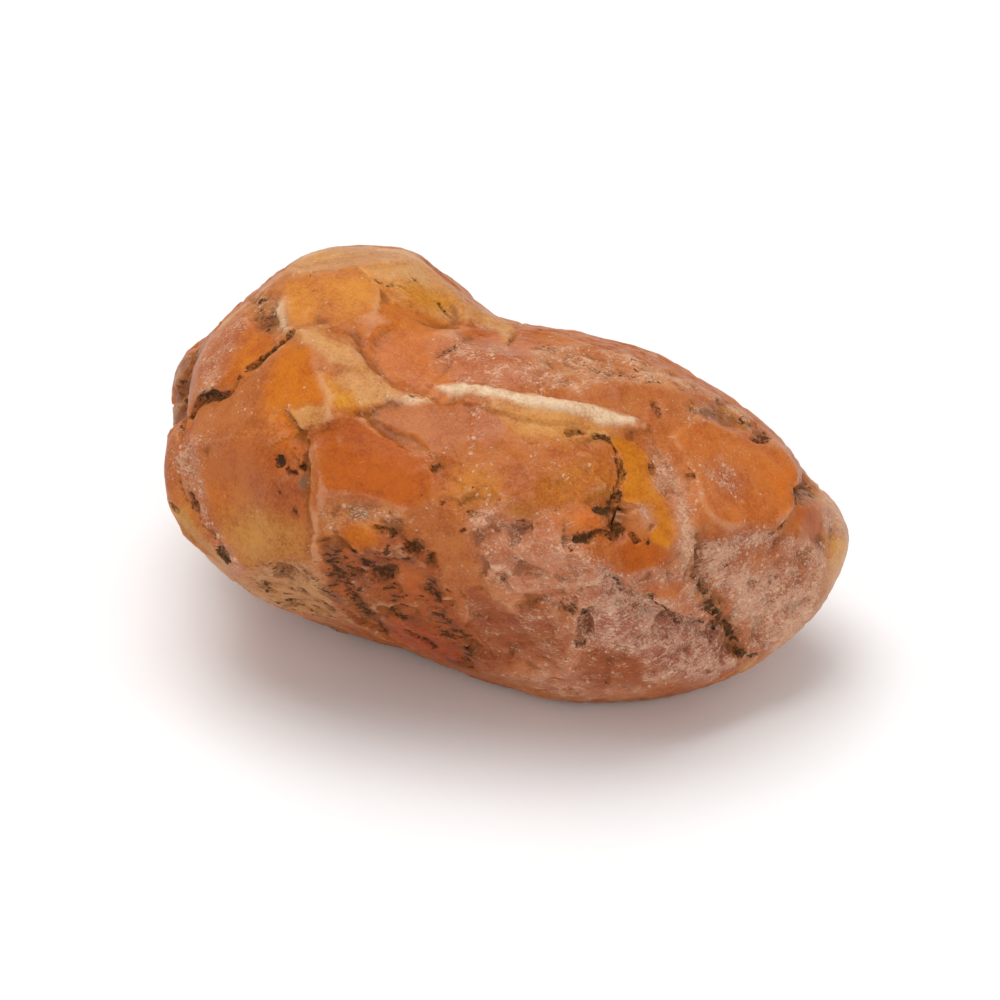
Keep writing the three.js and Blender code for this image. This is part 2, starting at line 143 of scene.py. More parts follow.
# Broad stains that run round the stone: finish, two ends in millimetres, reach, softness.
stains = [
    ("saddle", "rose", (2.5, -3, 31.5), (9.5, 3, 30.5), 3.4, 0.7),
    ("saddle_orange", "brown", (4, -1, 31), (6, 0, 31), 1.2, 0.3),
    ("top_slope", "fawn", (9.5, 2.5, 31), (20.5, 9.5, 26), 4.0, 0.8),
    ("top_slope_orange", "brown", (13, 0, 30.5), (18, 3, 28.5), 1.8, 0.4),
    ("top_slope_grit", "grit", (18.5, 7, 27.5), (23, 11, 24), 1.6, 0.6),
    ("crest_top", "straw", (-19, 5.5, 30.5), (-12, 7, 31), 3.0, 0.4),
    ("crest_back", "fawn", (-7, 5, 31), (-3, 7, 27.5), 2.4, 0.2),
    ("scar", "scar", (-6, -2.5, 32), (1.5, 1, 30), 3.4, 0.5),
    ("scar_low", "scar", (-4.5, -5, 31.5), (0.5, -6, 30.5), 2.4, 0.4),
    ("flank", "brown", (-20.5, -9.5, 28), (-19, -14, 24.5), 3.2, 0.6),
    ("flank_rim", "straw", (-20, -1, 31), (-22, -6, 28), 0.8, 0.5),
    ("flake", "umber", (-24, -8, 24), (-22.5, -12, 21), 2.4, 0.4),
    ("left_end", "brown", (-19, -17, 21), (-17, -18, 15), 2.6, 0.7),
    ("left_foot", "tan", (-14, -18, 12), (-6.5, -17, 10), 2.6, 0.7),
    ("lower_front", "rose", (11.5, -14, 23), (19.5, -11, 18), 3.2, 0.7),
    ("lower_front_deep", "rose", (12.5, -12, 12), (19.5, -8, 8), 4.5, 0.9),
    ("lower_front_far", "mauve", (20.5, -9.5, 14.5), (26, -2, 8), 3.0, 0.7),
    ("dark_foot_low", "rust", (1.5, -17, 13.5), (8.5, -12, 9), 2.8, 0.5),
    ("right_smooth", "scar", (21.5, 3, 26), (26.5, 7.5, 22), 3.0, 0.6),
    ("end_low", "brown", (28.5, 5, 15), (28, 6, 9), 3.0, 0.7),
    ("toe_rim", "straw", (27, 13, 17), (29.5, 12, 12), 2.0, 0.5),
]

# The faces of the broken front: finish, softness of the border, how flat the face is broken,
# how far it stands up, and its corners. The borders are laid on as they lie from the front.
facets = [
    ("scar_pink", "bruise", 0.9, 0, 0, [
        (-3, -2.5, 31.5), (-2, 0, 31), (0, 2, 30.5), (4, 1.5, 31), (6.5, -2.5, 31), (4, -5.5, 31),
        (1, -5, 30.5),
    ]),
    ("crest_cap", "straw", 0.3, 0.5, 0, [
        (-19, -0.5, 31.5), (-20, 3.5, 30.5), (-18.5, 5.5, 30.5), (-17, 9.5, 29), (-13, 9.5, 30),
        (-11, 10, 28.5), (-10.5, 4, 32.5), (-13, 1.5, 33), (-15, 0.5, 33), (-16.5, -1.5, 32.5),
    ]),
    ("crest_patch", "straw", 0.1, 0.8, 0, [
        (-12.5, 1, 33), (-10, 0, 33), (-8, 0, 32), (-6, 0.5, 31.5), (-4, 2, 30.5),
        (-2.5, 4.5, 29.5), (0, 4, 29.5), (2, 2.5, 30.5), (-0.5, 7.5, 28), (-8, 13.5, 24),
        (-7, 7, 30), (-11.5, 9.5, 29.5), (-11, 4.5, 32.5),
    ]),
    ("crest_yellow", "yellow", 0.6, 0, 0, [
        (-8.5, 1.5, 32.5), (-7, 1, 31.5), (-5, 2.5, 31), (-5.5, 5, 30), (-7.5, 5, 31),
        (-8, 3, 32.5),
    ]),
    ("amber_face", "amber", 1.2, 0.8, 0, [
        (-15, -1, 32.5), (-12, 1, 33), (-9, 0, 33), (-7.5, -3.5, 33), (-10.5, -5, 32.5),
        (-13.5, -3, 32),
    ]),
    ("amber_left", "amber", 0.6, 0.8, 0, [
        (-18, -2.5, 31.5), (-15.5, -2, 32.5), (-13.5, -3.5, 32), (-12, -7, 32), (-13, -8.5, 32.5),
        (-16, -5, 31.5),
    ]),
    ("amber_deep", "ember", 1, 0.7, -0.15, [
        (-9, 0, 33), (-8, 0, 32), (-6, 0.5, 31.5), (-3.5, 2.5, 30), (-3, -2, 31.5), (-6, -4, 32),
        (-7.5, -3.5, 33),
    ]),
    ("flank_pink", "bruise", 0.5, 0.6, 0, [
        (-21.5, -8.5, 27.5), (-19.5, -6.5, 29.5), (-18, -7, 30), (-17.5, -11, 28.5),
        (-18, -13.5, 26), (-19, -13.5, 25.5), (-21.5, -10.5, 26.5),
    ]),
    ("flank_orange", "ember", 0.6, 0.7, -0.1, [
        (-18, -7.5, 29.5), (-14.5, -9, 31), (-13.5, -10, 31), (-14.5, -11, 29.5),
        (-15.5, -12, 28.5), (-16.5, -13, 27.5), (-17, -13, 27.5), (-17.5, -10, 29),
    ]),
    ("pitted_spot", "grit", 0.2, 0, 0, [
        (-21, -3.5, 29.5), (-18.5, -4, 31), (-17, -4.5, 31.5), (-15, -6.5, 31), (-13, -9, 32),
        (-16, -7.5, 30), (-18.5, -6.5, 30),
    ]),
    ("pitted_pale", "cream", 0.3, 0, 0, [
        (-17, -5.5, 31), (-16.5, -4.5, 31.5), (-15, -6.5, 31), (-13, -9, 32), (-15.5, -7, 30.5),
    ]),
    ("under_seam", "brown", 0.3, 0.7, 0, [
        (-12.5, -9.5, 32), (-12, -11.5, 30.5), (-12, -13.5, 29.5), (-11.5, -15.5, 28),
        (-13.5, -17, 25), (-17.5, -17, 23), (-19, -14, 24.5), (-15.5, -13.5, 27.5),
        (-14, -11, 29.5), (-13, -10, 31),
    ]),
    ("window", "ember", 0.5, 0.9, 0, [
        (-12.5, -10, 31), (-10, -10.5, 32.5), (-7, -12.5, 31.5), (-4.5, -14, 31), (-4.5, -15, 30.5),
        (-6.5, -15, 30), (-8.5, -15, 29), (-11, -15.5, 28), (-12, -13.5, 29.5),
        (-12.5, -11.5, 30.5),
    ]),
    ("window_bruise", "straw", 0.4, 0.6, 0.05, [
        (-12.5, -9, 32), (-11, -7.5, 32), (-8, -7.5, 32), (-5.5, -8.5, 31.5), (-4, -9.5, 31.5),
        (-5, -10.5, 31.5), (-7, -11, 32), (-9.5, -10.5, 32.5),
    ]),
    ("window_tan", "straw", 0.3, 0.7, 0, [
        (-5.5, -8.5, 31.5), (-3, -9.5, 31.5), (-1, -9.5, 30.5), (-1.5, -11, 30), (-2.5, -13, 30),
        (-4, -12.5, 30.5), (-6, -12, 31.5), (-5, -10.5, 31.5),
    ]),
    ("window_yellow", "yellow", 0.5, 0, 0, [
        (-7, -12, 31.5), (-5.5, -12.5, 31), (-4, -12.5, 30.5), (-3, -13, 30), (-3.5, -14.5, 30),
        (-4.5, -15, 30.5), (-5, -14, 31),
    ]),
    ("arch_tip", "cream", 0.3, 0, 0.1, [
        (-1.5, -11, 30), (-0.5, -9, 30.5), (1, -8, 29.5), (0.5, -10, 30),
    ]),
    ("chip", "straw", 0.06, 1, 0.2, [
        (-8.5, -15, 29), (-6.5, -15, 30), (-4.5, -15, 30.5), (-4, -15.5, 30), (-5, -16, 29),
        (-6.5, -16, 28), (-7.5, -16, 28.5),
    ]),
    ("under_chip", "ember", 0.5, 0.5, 0, [
        (-10.5, -15.5, 28), (-8.5, -15, 29), (-6.5, -16, 28), (-6, -17.5, 27), (-8, -18, 26),
        (-10, -17, 27),
    ]),
    ("hollow", "hollow", 0.5, 0, 0, [
        (-13.5, -17, 25), (-10, -17, 27), (-6, -17.5, 27), (-4.5, -19.5, 23), (-6, -20, 22.5),
        (-10.5, -19.5, 20.5), (-13, -19.5, 18.5), (-15, -18.5, 20.5), (-15.5, -17.5, 22.5),
    ]),
    ("hollow_orange", "ember", 0.9, 0, 0, [
        (-15, -18.5, 20.5), (-12.5, -18.5, 21.5), (-11.5, -19.5, 20), (-12.5, -19.5, 18.5),
        (-14, -19, 19),
    ]),
    # Painted light shining through the thin lower part of the hollow.
    ("hollow_glow", "painted_glow", 1.5, 0, 0, [
        (-12.5, -19.5, 18.5), (-10.5, -19.5, 20.5), (-6, -20, 22.5), (-4, -20, 22),
        (-4, -20.5, 18.5), (-5.5, -20.5, 18), (-8, -20.5, 16), (-10, -20.5, 15.5),
        (-11.5, -20.5, 17),
    ]),
    ("hollow_shade", "hollow_shade", 0.6, 0, 0, [
        (-7.5, -19, 24.5), (-5, -18.5, 24.5), (-4, -20, 21.5), (-6, -20, 21.5), (-7.5, -19.5, 23),
    ]),
    ("rim", "pink", 0.4, 0, 0.1, [
        (-19.5, -15.5, 23), (-17, -16.5, 24), (-16.5, -17.5, 21.5), (-14, -19.5, 18),
        (-10, -20.5, 16), (-9.5, -20.5, 15), (-12.5, -18.5, 12), (-14, -20, 17),
        (-16.5, -18.5, 18.5), (-19, -17.5, 21),
    ]),
    # Painted light shining through the thin sliver.
    ("sliver", "painted_glow", 0.4, 0.5, 0, [
        (-19.5, -18, 16.5), (-17, -19, 18), (-15.5, -19.5, 17), (-12.5, -20.5, 15.5),
        (-12, -18.5, 12), (-14, -18, 10.5), (-14, -21, 14), (-17, -20, 15), (-19, -19, 16),
    ]),
    ("speckled", "tan", 0.4, 0.3, 0, [
        (-10.5, -20, 14), (-8, -20.5, 16.5), (-4, -20.5, 18), (-3, -19.5, 17), (-2.5, -19, 15),
        (-4, -14.5, 8.5), (-8.5, -9, 2), (-8, -14, 6.5), (-8.5, -17, 10), (-10, -18, 11),
    ]),
    ("arris", "brown", 0.2, 0.4, 0, [
        (-6.5, -16, 28), (-5.5, -16, 28.5), (-3.5, -18, 26.5), (-3, -19, 23), (-2.5, -20, 19),
        (-3, -20, 18), (-3.5, -20, 20), (-5, -18.5, 24.5),
    ]),
    ("front_face", "orange", 0.7, 0.9, -0.1, [
        (-5.5, -16, 28.5), (-3.5, -14.5, 30), (-2, -13.5, 29.5), (1, -12.5, 28.5), (3.5, -13, 28),
        (5, -14, 27), (5.5, -15.5, 25.5), (4, -16.5, 24), (2, -17, 24.5), (-0.5, -17.5, 24.5),
        (-2, -18.5, 24), (-3, -19, 23), (-3.5, -18, 26.5),
    ]),
    ("front_deep", "deep", 0.8, 0, 0, [
        (-3, -17.5, 27.5), (1, -15.5, 28), (4, -14.5, 27.5), (5, -15.5, 26), (3, -16.5, 24.5),
        (-0.5, -17.5, 24.5), (-2.5, -18.5, 24.5),
    ]),
    ("medium_face", "brown", 0.3, 0.8, 0, [
        (-3, -14, 30), (-0.5, -10.5, 30), (2, -8, 29.5), (5, -8, 30.5), (6.5, -10.5, 29),
        (5, -12.5, 28), (3, -13.5, 28), (0, -13.5, 29), (-2, -13.5, 29.5),
    ]),
    ("medium_pink", "bruise", 0.5, 0.3, 0, [
        (4.5, -8, 30.5), (7, -6.5, 30.5), (9, -9, 29), (8, -10, 28.5), (6.5, -10.5, 29),
    ]),
    ("flaky", "fawn", 0.4, 0, 0.1, [
        (-3, -19.5, 23), (-1, -18, 24.5), (1.5, -17, 24.5), (4, -16.5, 24), (4, -17, 23),
        (2, -17.5, 22), (0, -18.5, 22), (-1.5, -19.5, 21),
    ]),
    ("front_strip", "ember", 0.5, 0.3, 0, [
        (-0.5, -18.5, 22.5), (2, -17.5, 23), (2, -18, 21), (0.5, -19, 20.5), (-1, -19.5, 20.5),
        (-1, -19, 21.5),
    ]),
    ("right_of_foot", "brown", 0.4, 0.7, 0, [
        (6, -15, 25.5), (9, -14.5, 24), (10.5, -15.5, 21), (10, -15.5, 18), (8.5, -15.5, 17.5),
        (7, -16, 20), (6, -16.5, 22.5), (4.5, -16.5, 24),
    ]),
    ("dark_foot", "rust", 0.4, 0.3, 0, [
        (-2.5, -19.5, 20.5), (-0.5, -19, 21), (1, -19, 20.5), (3.5, -17, 22.5), (6, -16.5, 21),
        (7, -16, 18.5), (7, -15.5, 15.5), (8, -12.5, 10.5), (7, -10, 4.5), (2, -9, 3),
        (-2, -9, 3.5), (-7.5, -7.5, 1), (-3, -15.5, 9.5), (-2.5, -19, 15),
    ]),
    ("foot_orange", "orange", 0.8, 0.7, -0.1, [
        (3.5, -17, 18.5), (5.5, -16, 18), (5.5, -16, 15.5), (3.5, -16.5, 15),
    ]),
    ("foot_red", "red", 0.5, 0.3, 0, [
        (0.5, -15.5, 11), (4.5, -15, 12), (6.5, -13, 9), (4.5, -9, 3.5), (-0.5, -6, 0.5),
        (-3, -7, 1.5),
    ]),
    ("foot_brown", "umber", 0.5, 0, 0, [
        (-1, -17.5, 13.5), (2, -17, 14.5), (2.5, -15.5, 12), (-2, -13, 7.5), (-3, -15, 9.5),
    ]),
    ("lumps_left", "lump", 0.7, 0.4, 0, [
        (6.5, -13, 27.5), (8.5, -11.5, 27.5), (10.5, -11.5, 27), (11, -12.5, 26.5), (9, -14, 25.5),
        (8.5, -14.5, 24.5), (7, -14, 26),
    ]),
    ("lumps_shade", "honey_dark", 0.5, 0.3, 0, [
        (11.5, -13, 26), (14, -11.5, 26), (14, -12.5, 25), (12, -13.5, 24.5),
    ]),
    ("lumps_right", "lump", 0.6, 0, 0, [
        (13, -10, 27), (14.5, -8, 27.5), (16, -4.5, 27), (18, -5, 25.5), (17.5, -7.5, 25.5),
        (15, -10, 25.5), (13.5, -11, 26),
    ]),
    ("lumps_orange", "flame", 0.6, 0, 0, [
        (16.5, -9.5, 25), (18, -8.5, 25), (18.5, -9.5, 24), (17, -10.5, 24),
    ]),
    ("crack_brown", "umber", 0.6, 0, -0.1, [
        (17, -8.5, 25.5), (18.5, -5.5, 25), (20, -7, 24), (20, -8.5, 22.5), (18.5, -9, 24.5),
    ]),
    ("under_ridge", "sand", 0.6, 0.7, 0, [
        (5.5, -6.6, 30.6), (8.5, -5.7, 30.6), (11.5, -4.3, 30.5), (14.5, -2.8, 29.2),
        (15.5, -3, 28), (14.5, -4, 28), (12.5, -6.5, 29), (10, -8, 29.5), (7.5, -7.8, 30),
    ]),
    ("ridge", "bone", 0.2, 0, 0.12, [
        (0.5, -7, 30), (3, -6.2, 31), (6, -5.6, 31), (9.5, -4.5, 31), (12, -2.6, 30.5),
        (14.5, -1.6, 29.5), (16.5, 0, 28.5), (16.5, -1, 28.5), (14.5, -2.9, 29.1),
        (11.5, -4.5, 30.4), (8.5, -6, 30.6), (6.5, -6.4, 30.5), (4, -6.8, 30.5), (2, -7, 29.8),
    ]),
    ("yellow_band", "honey", 0.1, 0.8, -0.2, [
        (15.5, -3, 28.5), (17.5, -1.5, 27.5), (19, -1.5, 26), (20, -3, 25), (21.5, -3, 23.5),
        (23, -4.5, 22), (23, -6, 21), (21.5, -6.5, 22), (21.5, -5, 23.5), (20, -5, 24.5),
        (18.5, -6, 25), (17.5, -4, 26.5),
    ]),
    ("band_pale", "chalk", 0.5, 0, 0, [
        (20, -5.5, 24.5), (20.5, -4.5, 24), (21, -5, 23), (21, -6, 23.5),
    ]),
    ("orange_wedge", "orange", 0.4, 0.8, -0.1, [
        (20, -9, 22.5), (20.5, -7.5, 23), (22, -6.5, 22), (23.5, -5.5, 20.5), (22.5, -7.5, 20),
        (21, -9.5, 20.5),
    ]),
    ("band_border", "chalk", 0.6, 0, 0.05, [
        (18.5, -1, 27), (19.5, -0.5, 26), (21.5, -1, 24.5), (23.5, -3, 23), (24.5, -3, 19.5),
        (25, -4, 15.5), (24, -5, 16.5), (23.5, -6, 19.5), (23.5, -4.5, 22), (21.5, -2.5, 24),
        (20, -2.5, 25),
    ]),
    ("smooth_right", "scar", 0.7, 0.8, 0, [
        (18.5, 1, 27), (19.5, 4.5, 27), (21, 9, 24.5), (23, 13.5, 20.5), (26, 10.5, 20.5),
        (28, 7, 20), (27.5, 3.5, 20.5), (25.5, -1, 21), (24, -2, 22.5), (21.5, 0, 24.5),
        (20.5, 0.5, 25.5),
    ]),
    ("smooth_red", "flame", 0.7, 0, 0, [
        (25, 8.5, 23), (24, 13.5, 19), (27, 8.5, 21), (27, 6.5, 21), (26, 7, 22),
    ]),
    ("smooth_scuff", "bruise", 0.8, 0, 0, [
        (22, 1, 25), (22.5, 4, 24.5), (24.5, 4.5, 23), (25, 2, 22), (24.5, -0.5, 22.5),
    ]),
    ("smooth_low", "scar", 0.8, 0, 0, [
        (24, 0.5, 23), (26, 4.5, 21.5), (27, 3.5, 20.5), (25.5, -0.5, 21.5),
    ]),
    ("slope_orange", "brown", 0.4, 0.4, 0, [
        (12.5, 1.5, 30), (15.5, 5, 29), (16.5, 13.5, 23.5), (18.5, 9, 26), (16.5, 3, 28.5),
        (14, 0.5, 29.5),
    ]),
    ("toe_orange", "orange", 0.4, 0.9, -0.15, [
        (27.5, 8, 20), (27, 13.5, 16.5), (29, 10.5, 16), (29, 7, 17.5), (28, 6.5, 19),
    ]),
    ("toe_notch", "grit", 0.4, 0, -0.2, [
        (27, 9, 20.5), (24.5, 16, 17), (26, 16, 16.5), (27.5, 11.5, 18), (27.5, 8.5, 19.5),
    ]),
    ("toe_scuff", "chalk", 0.3, 0, 0, [
        (25.5, 15.5, 16.5), (27, 16, 16), (29, 15, 15), (30, 12.5, 14), (29, 11, 15.5),
        (27.5, 12.5, 16.5),
    ]),
    ("toe_rim", "straw", 0.4, 0.3, 0, [
        (29.5, 11, 14.5), (30, 13, 14), (31, 11.5, 13), (30, 11.5, 9.5), (30, 9, 12),
    ]),
    ("end_wall", "frost", 0.5, 0.4, 0, [
        (24.5, -2.5, 20.5), (26.5, 1, 20.5), (28.5, 5.5, 18), (29.5, 10.5, 15), (30, 9, 12),
        (30, 7.5, 9.5), (28, 3.5, 8), (26.5, 0.5, 11), (25.5, -1, 14.5), (24.5, -3, 18),
    ]),
    ("end_orange", "brown", 0.8, 0, 0, [
        (26.5, 0.5, 18), (27.5, 3, 18), (28.5, 5.5, 16), (29, 7, 14.5), (29, 6, 13), (28, 4.5, 13),
    ]),
    ("end_low", "pink", 0.6, 0, 0, [
        (26.5, 0.5, 11), (28, 3.5, 8), (30, 7.5, 9.5), (30, 10, 10.5), (30.5, 8.5, 8.5),
        (29.5, 5.5, 7), (27.5, 5.5, 4.5), (27, 1, 8),
    ]),
    ("bottom_strip", "straw", 0.3, 0, 0, [
        (26.5, 0.5, 7), (28, 5.5, 4.5), (27, 6, 3), (25, 4, 2.5),
    ]),
    ("plate", "rose", 0.15, 0.8, 0, [
        (20.5, -10, 20.5), (22.5, -7.5, 20), (24.5, -4.5, 19), (25, -3, 16.5), (25.5, -1.5, 14.5),
        (26, -1.5, 12.5), (24, -5, 14.5), (22, -8.5, 17), (21, -9.5, 18),
    ]),
    ("plate_orange", "scar", 0.4, 0, 0, [
        (22.5, -8, 18.5), (24, -5, 17.5), (24, -5, 16), (23, -7, 17),
    ]),
    ("ledge", "grit", 0.3, 0, 0, [
        (24, -3.5, 20.5), (24.5, -3, 19), (25, -3, 16.5), (25.5, -1, 14), (26, -0.5, 12),
        (27, 1, 8), (26.5, 0.5, 7), (25.5, -1.5, 12), (25, -3.5, 15.5), (24.5, -4.5, 18.5),
    ]),
    ("low_brown", "russet", 0.5, 0.8, 0, [
        (11.5, -14, 15), (16, -12, 16), (17, -11, 12), (15, -10, 8), (11.5, -10.5, 8),
        (10, -11.5, 9),
    ]),
    ("low_orange", "russet", 0.5, 0.5, 0, [
        (18, -10, 11.5), (21.5, -7.5, 11), (21, -5.5, 6), (17, -6.5, 4.5), (16, -9, 7),
    ]),
    ("low_purple", "mauve", 0.4, 0.6, 0, [
        (22.5, -7.5, 16), (24, -4, 13), (26, -1, 10.5), (26, -0.5, 7), (24.5, -4, 7.5),
        (23, -6.5, 9.5), (22.5, -7.5, 13),
    ]),
    ("low_purple_left", "mauve", 0.4, 0.4, 0, [
        (19.5, -11, 21), (20.5, -10, 20), (21, -9.5, 18), (22.5, -7.5, 16), (22, -7.5, 13),
        (20, -10, 14.5), (19, -11, 18),
    ]),
    ("low_chalk", "chalk", 0.5, 0, 0, [
        (17, -13, 21.5), (19, -11.5, 21), (19.5, -11.5, 19), (17, -11.5, 18),
    ]),
    ("low_left_red", "russet", 0.5, 0.6, 0, [
        (9.5, -15.5, 17.5), (12, -14.5, 17), (11, -11, 8.5), (9, -9.5, 5), (7, -10, 4.5),
        (8, -12.5, 10.5),
    ]),
    ("low_edge", "rose", 0.5, 0, 0, [
        (9.5, -10.5, 6), (13, -10, 7), (17, -6.5, 4.5), (20, -5, 4.5), (16, -5, 2.5),
        (13.5, -7.5, 3), (10.5, -9, 4),
    ]),
    ("low_pink", "rose", 0.9, 0, 0, [
        (10, -14.5, 24.5), (13, -13, 24), (16.5, -12, 23.5), (19.5, -11, 20.5), (18.5, -10.5, 16),
        (15, -12.5, 17.5), (12.5, -14.5, 18), (11, -15, 21),
    ]),
    ("end_pink", "frost", 1, 0, 0, [
        (27.5, 3.5, 16.5), (29, 6, 15.5), (30, 7.5, 11), (28.5, 5.5, 7), (27.5, 3, 7),
        (27, 1, 12.5),
    ]),
    # A painted glint: a small grey spot where a grain catches the light.
    ("glint", "painted_glint", 0.1, 0, -0.1, [
        (-5.2, -18.2, 25.2), (-5, -18.1, 25.2), (-4.8, -18.6, 24.4), (-5, -18.7, 24.4),
    ]),
]

tiny = 1e-9
front = np.array([0.45, -0.69, 0.57])
across = np.array([0.84, 0.55, 0.0])
front_view = np.stack([across, np.cross(front, across)])
wander_seed = 7


def wander(points, waves):
    """Points pushed about by noise; each wave is its size and its height in millimetres."""
    pushed = []
    for point in points:
        pushes = (noise.noise_vector(Vector(point) / size) * height for size, height in waves)
        pushed.append(sum(pushes, Vector(point)))
    return np.array(pushed)


def apart_from(points, start, end):
    """How far each point is from the straight line between two ends."""
    start, end = np.array(start, float), np.array(end, float)
    way = end - start
    share = np.clip((points - start) @ way / max(way @ way, tiny), 0, 1)
    return np.linalg.norm(points - start - share[:, None] * way, axis=1)


def outside_of(points, corners):
    """How far each flat point lies outside an outline; below zero is inside."""
    apart = np.full(len(points), np.inf)
    inside = np.zeros(len(points), bool)
    for start, end in zip(corners, np.roll(corners, -1, axis=0)):
        apart = np.minimum(apart, apart_from(points, start, end))
        passes = (start[1] > points[:, 1]) != (end[1] > points[:, 1])
        slant = (end[0] - start[0]) / ((end[1] - start[1]) or tiny)
        inside ^= passes & (points[:, 0] < start[0] + (points[:, 1] - start[1]) * slant)
    return np.where(inside, -apart, apart)


def eased(distance, softness):
    """1 well below zero, 0 well above it."""
    return 1 / (1 + np.exp(np.clip(distance / (softness / 2), -30, 30)))


def finish_row(name):
    colour, scuff, speck, rough = finishes[name]
    return np.array([*colour, scuff, speck, rough])


def flattened(spots, face, flatness, lift):
    """Moves the points of a broken face toward its own plane, and then up by the lift."""
    middle = np.average(spots, axis=0, weights=face)
    look = np.average(normals, axis=0, weights=face)
    look /= np.linalg.norm(look)
    height = np.clip((spots - middle) @ look, -press_reach, press_reach)
    return spots + (face * (lift - flatness * height))[:, None] * look


places = read_points(skin_mesh, "co") / MM
normals = read_points(skin_mesh, "normal")
noise.seed_set(wander_seed)
loose = wander(places, [(4, 1.1), (1.3, 0.5), (0.6, 0.25)])
torn = wander(places, [(3, 0.7), (1.2, 0.35), (0.5, 0.15)])
crisp = wander(places, [(2.5, 0.25), (0.9, 0.12), (0.35, 0.06)])
arris_width = 0.12
press_reach = 0.6
finish = np.tile(finish_row("ground"), (len(places), 1))

# The hidden sides break in the same way, in faces around seeded spots. Old seams run between
# some of the faces and are packed with dirt.
draw = random.Random(7)
hidden_faces = 46
hidden_finishes = [
    "bruise", "scar", "brown", "ember", "flame", "straw", "rose", "pink", "russet", "tan", "amber",
    "orange", "fawn", "lump",
]
hidden_start = 0.4
hidden_fade = 4
well_hidden = 0.9
hidden_border = 1.6
hidden_strength = 0.5
hidden_flatness = 0.9
hidden_lift = (-0.15, 0.1)
seam_odds = 0.16
seam_half_width = 0.9
seam_depth = 0.4

hidden = np.clip(hidden_start - normals @ front * hidden_fade, 0, 1)
behind = np.flatnonzero(hidden > well_hidden).tolist()
spots = places[draw.sample(behind, hidden_faces)]
gaps = np.linalg.norm(torn[:, None] - spots, axis=2)
nearest, second = np.argsort(gaps, axis=1)[:, :2].T
every = np.arange(len(places))
for number in range(hidden_faces):
    rivals = np.where(nearest == number, gaps[every, second], gaps[every, nearest])
    outside = gaps[:, number] - rivals
    cover = eased(outside, hidden_border) * hidden * hidden_strength
    finish += cover[:, None] * (finish_row(draw.choice(hidden_finishes)) - finish)
    face = eased(outside, arris_width) * hidden
    places = flattened(places, face, hidden_flatness, draw.uniform(*hidden_lift))
split = np.array([[draw.random() < seam_odds for _ in spots] for _ in spots])
rift = gaps[every, second] - gaps[every, nearest]
seam = np.clip(1 - rift / seam_half_width, 0, 1) * split[nearest, second] * hidden
places -= (seam * seam_depth)[:, None] * normals

for _, kind, start, end, reach, softness in stains:
    cover = eased(apart_from(loose, start, end) - reach, softness)
    finish += cover[:, None] * (finish_row(kind) - finish)

facing_fade = 0.2
facing = np.clip(normals @ front / facing_fade, 0, 1)
across_view = crisp @ front_view.T
for _, kind, softness, flatness, lift, corners in facets:
    outside = outside_of(across_view, np.array(corners) @ front_view.T)
    cover = eased(outside, softness) * facing
    finish += cover[:, None] * (finish_row(kind) - finish)
    places = flattened(places, eased(outside, arris_width) * facing, flatness, lift)
places[:, 2] = np.maximum(places[:, 2], 0)


def store(mesh, name, values):
    """Keeps one number for each point of the skin."""
    layer = mesh.attributes.new(name, "FLOAT", "POINT")
    layer.data.foreach_set("value", np.ascontiguousarray(values, dtype=np.float32))


skin_mesh.vertices.foreach_set("co", (places * MM).ravel())
skin_mesh.update()
tint = skin_mesh.color_attributes.new("tint", "FLOAT_COLOR", "POINT")
opaque = np.ones((len(finish), 1))
tint.data.foreach_set("color", np.hstack([finish[:, :3], opaque]).astype(np.float32).ravel())
store(skin_mesh, "scuff", finish[:, 3])
store(skin_mesh, "speck", finish[:, 4])
store(skin_mesh, "rough", finish[:, 5])
store(skin_mesh, "dirt", seam)


# ---------------------------------------------------------------------------------------------
# The flake scars. Chalcedony breaks like glass, so the lump is bounded by shallow shell-shaped
# dishes where flakes sprang off, meeting in sharp edges. Each scar cuts the skin down to a dish.

def feed(tree, socket, value):
    """Gives an input a value, or links it to a node's first output."""
    if isinstance(value, bpy.types.Node):
        value = next(s for s in value.outputs if not s.is_unavailable)
    if isinstance(value, bpy.types.NodeSocket):
        tree.links.new(value, socket)
    else:
        socket.default_value = value


def add(tree, kind, *values, **named):
    """Adds a node. Small-letter names are its settings; inputs go in order or by name."""
    made = tree.nodes.new(kind)
    for name, value in named.items():
        if name[0].islower():
            setattr(made, name, value)
    sockets = [s for s in made.inputs if not s.is_unavailable]
    for socket, value in zip(sockets, values):
        feed(tree, socket, value)
    for name, value in named.items():
        if not name[0].islower():
            feed(tree, next(s for s in sockets if s.name == name.replace("_", " ")), value)
    return made


def calc(tree, operation, *values, clamp=False):
    return add(tree, "ShaderNodeMath", *values, operation=operation, use_clamp=clamp)


def vector_calc(tree, operation, *values):
    return add(tree, "ShaderNodeVectorMath", *values, operation=operation)


def scaled(tree, vector, size):
    return add(tree, "ShaderNodeVectorMath", vector, Scale=size, operation="SCALE")


def ramp(tree, value, low, high, start=0.0, end=1.0):
    """Eases from start to end as value goes from low to high."""
    return add(
        tree, "ShaderNodeMapRange", value, low, high, start, end, interpolation_type="SMOOTHSTEP",
    )


def cloud(tree, place, size, detail=2.0, roughness=0.5):
    """Soft noise between 0 and 1, mostly near a half, with lumps of that size."""
    scale = calc(tree, "DIVIDE", 1.0, size)
    return add(
        tree, "ShaderNodeTexNoise",
        Vector=place, Scale=scale, Detail=detail, Roughness=roughness, normalize=True,
    )


def ragged(tree, place, size, reach):
    """A place pushed about by noise of that size."""
    push = vector_calc(tree, "SUBTRACT", cloud(tree, place, size).outputs["Color"], (0.5, 0.5, 0.5))
    return vector_calc(tree, "ADD", place, scaled(tree, push, reach))


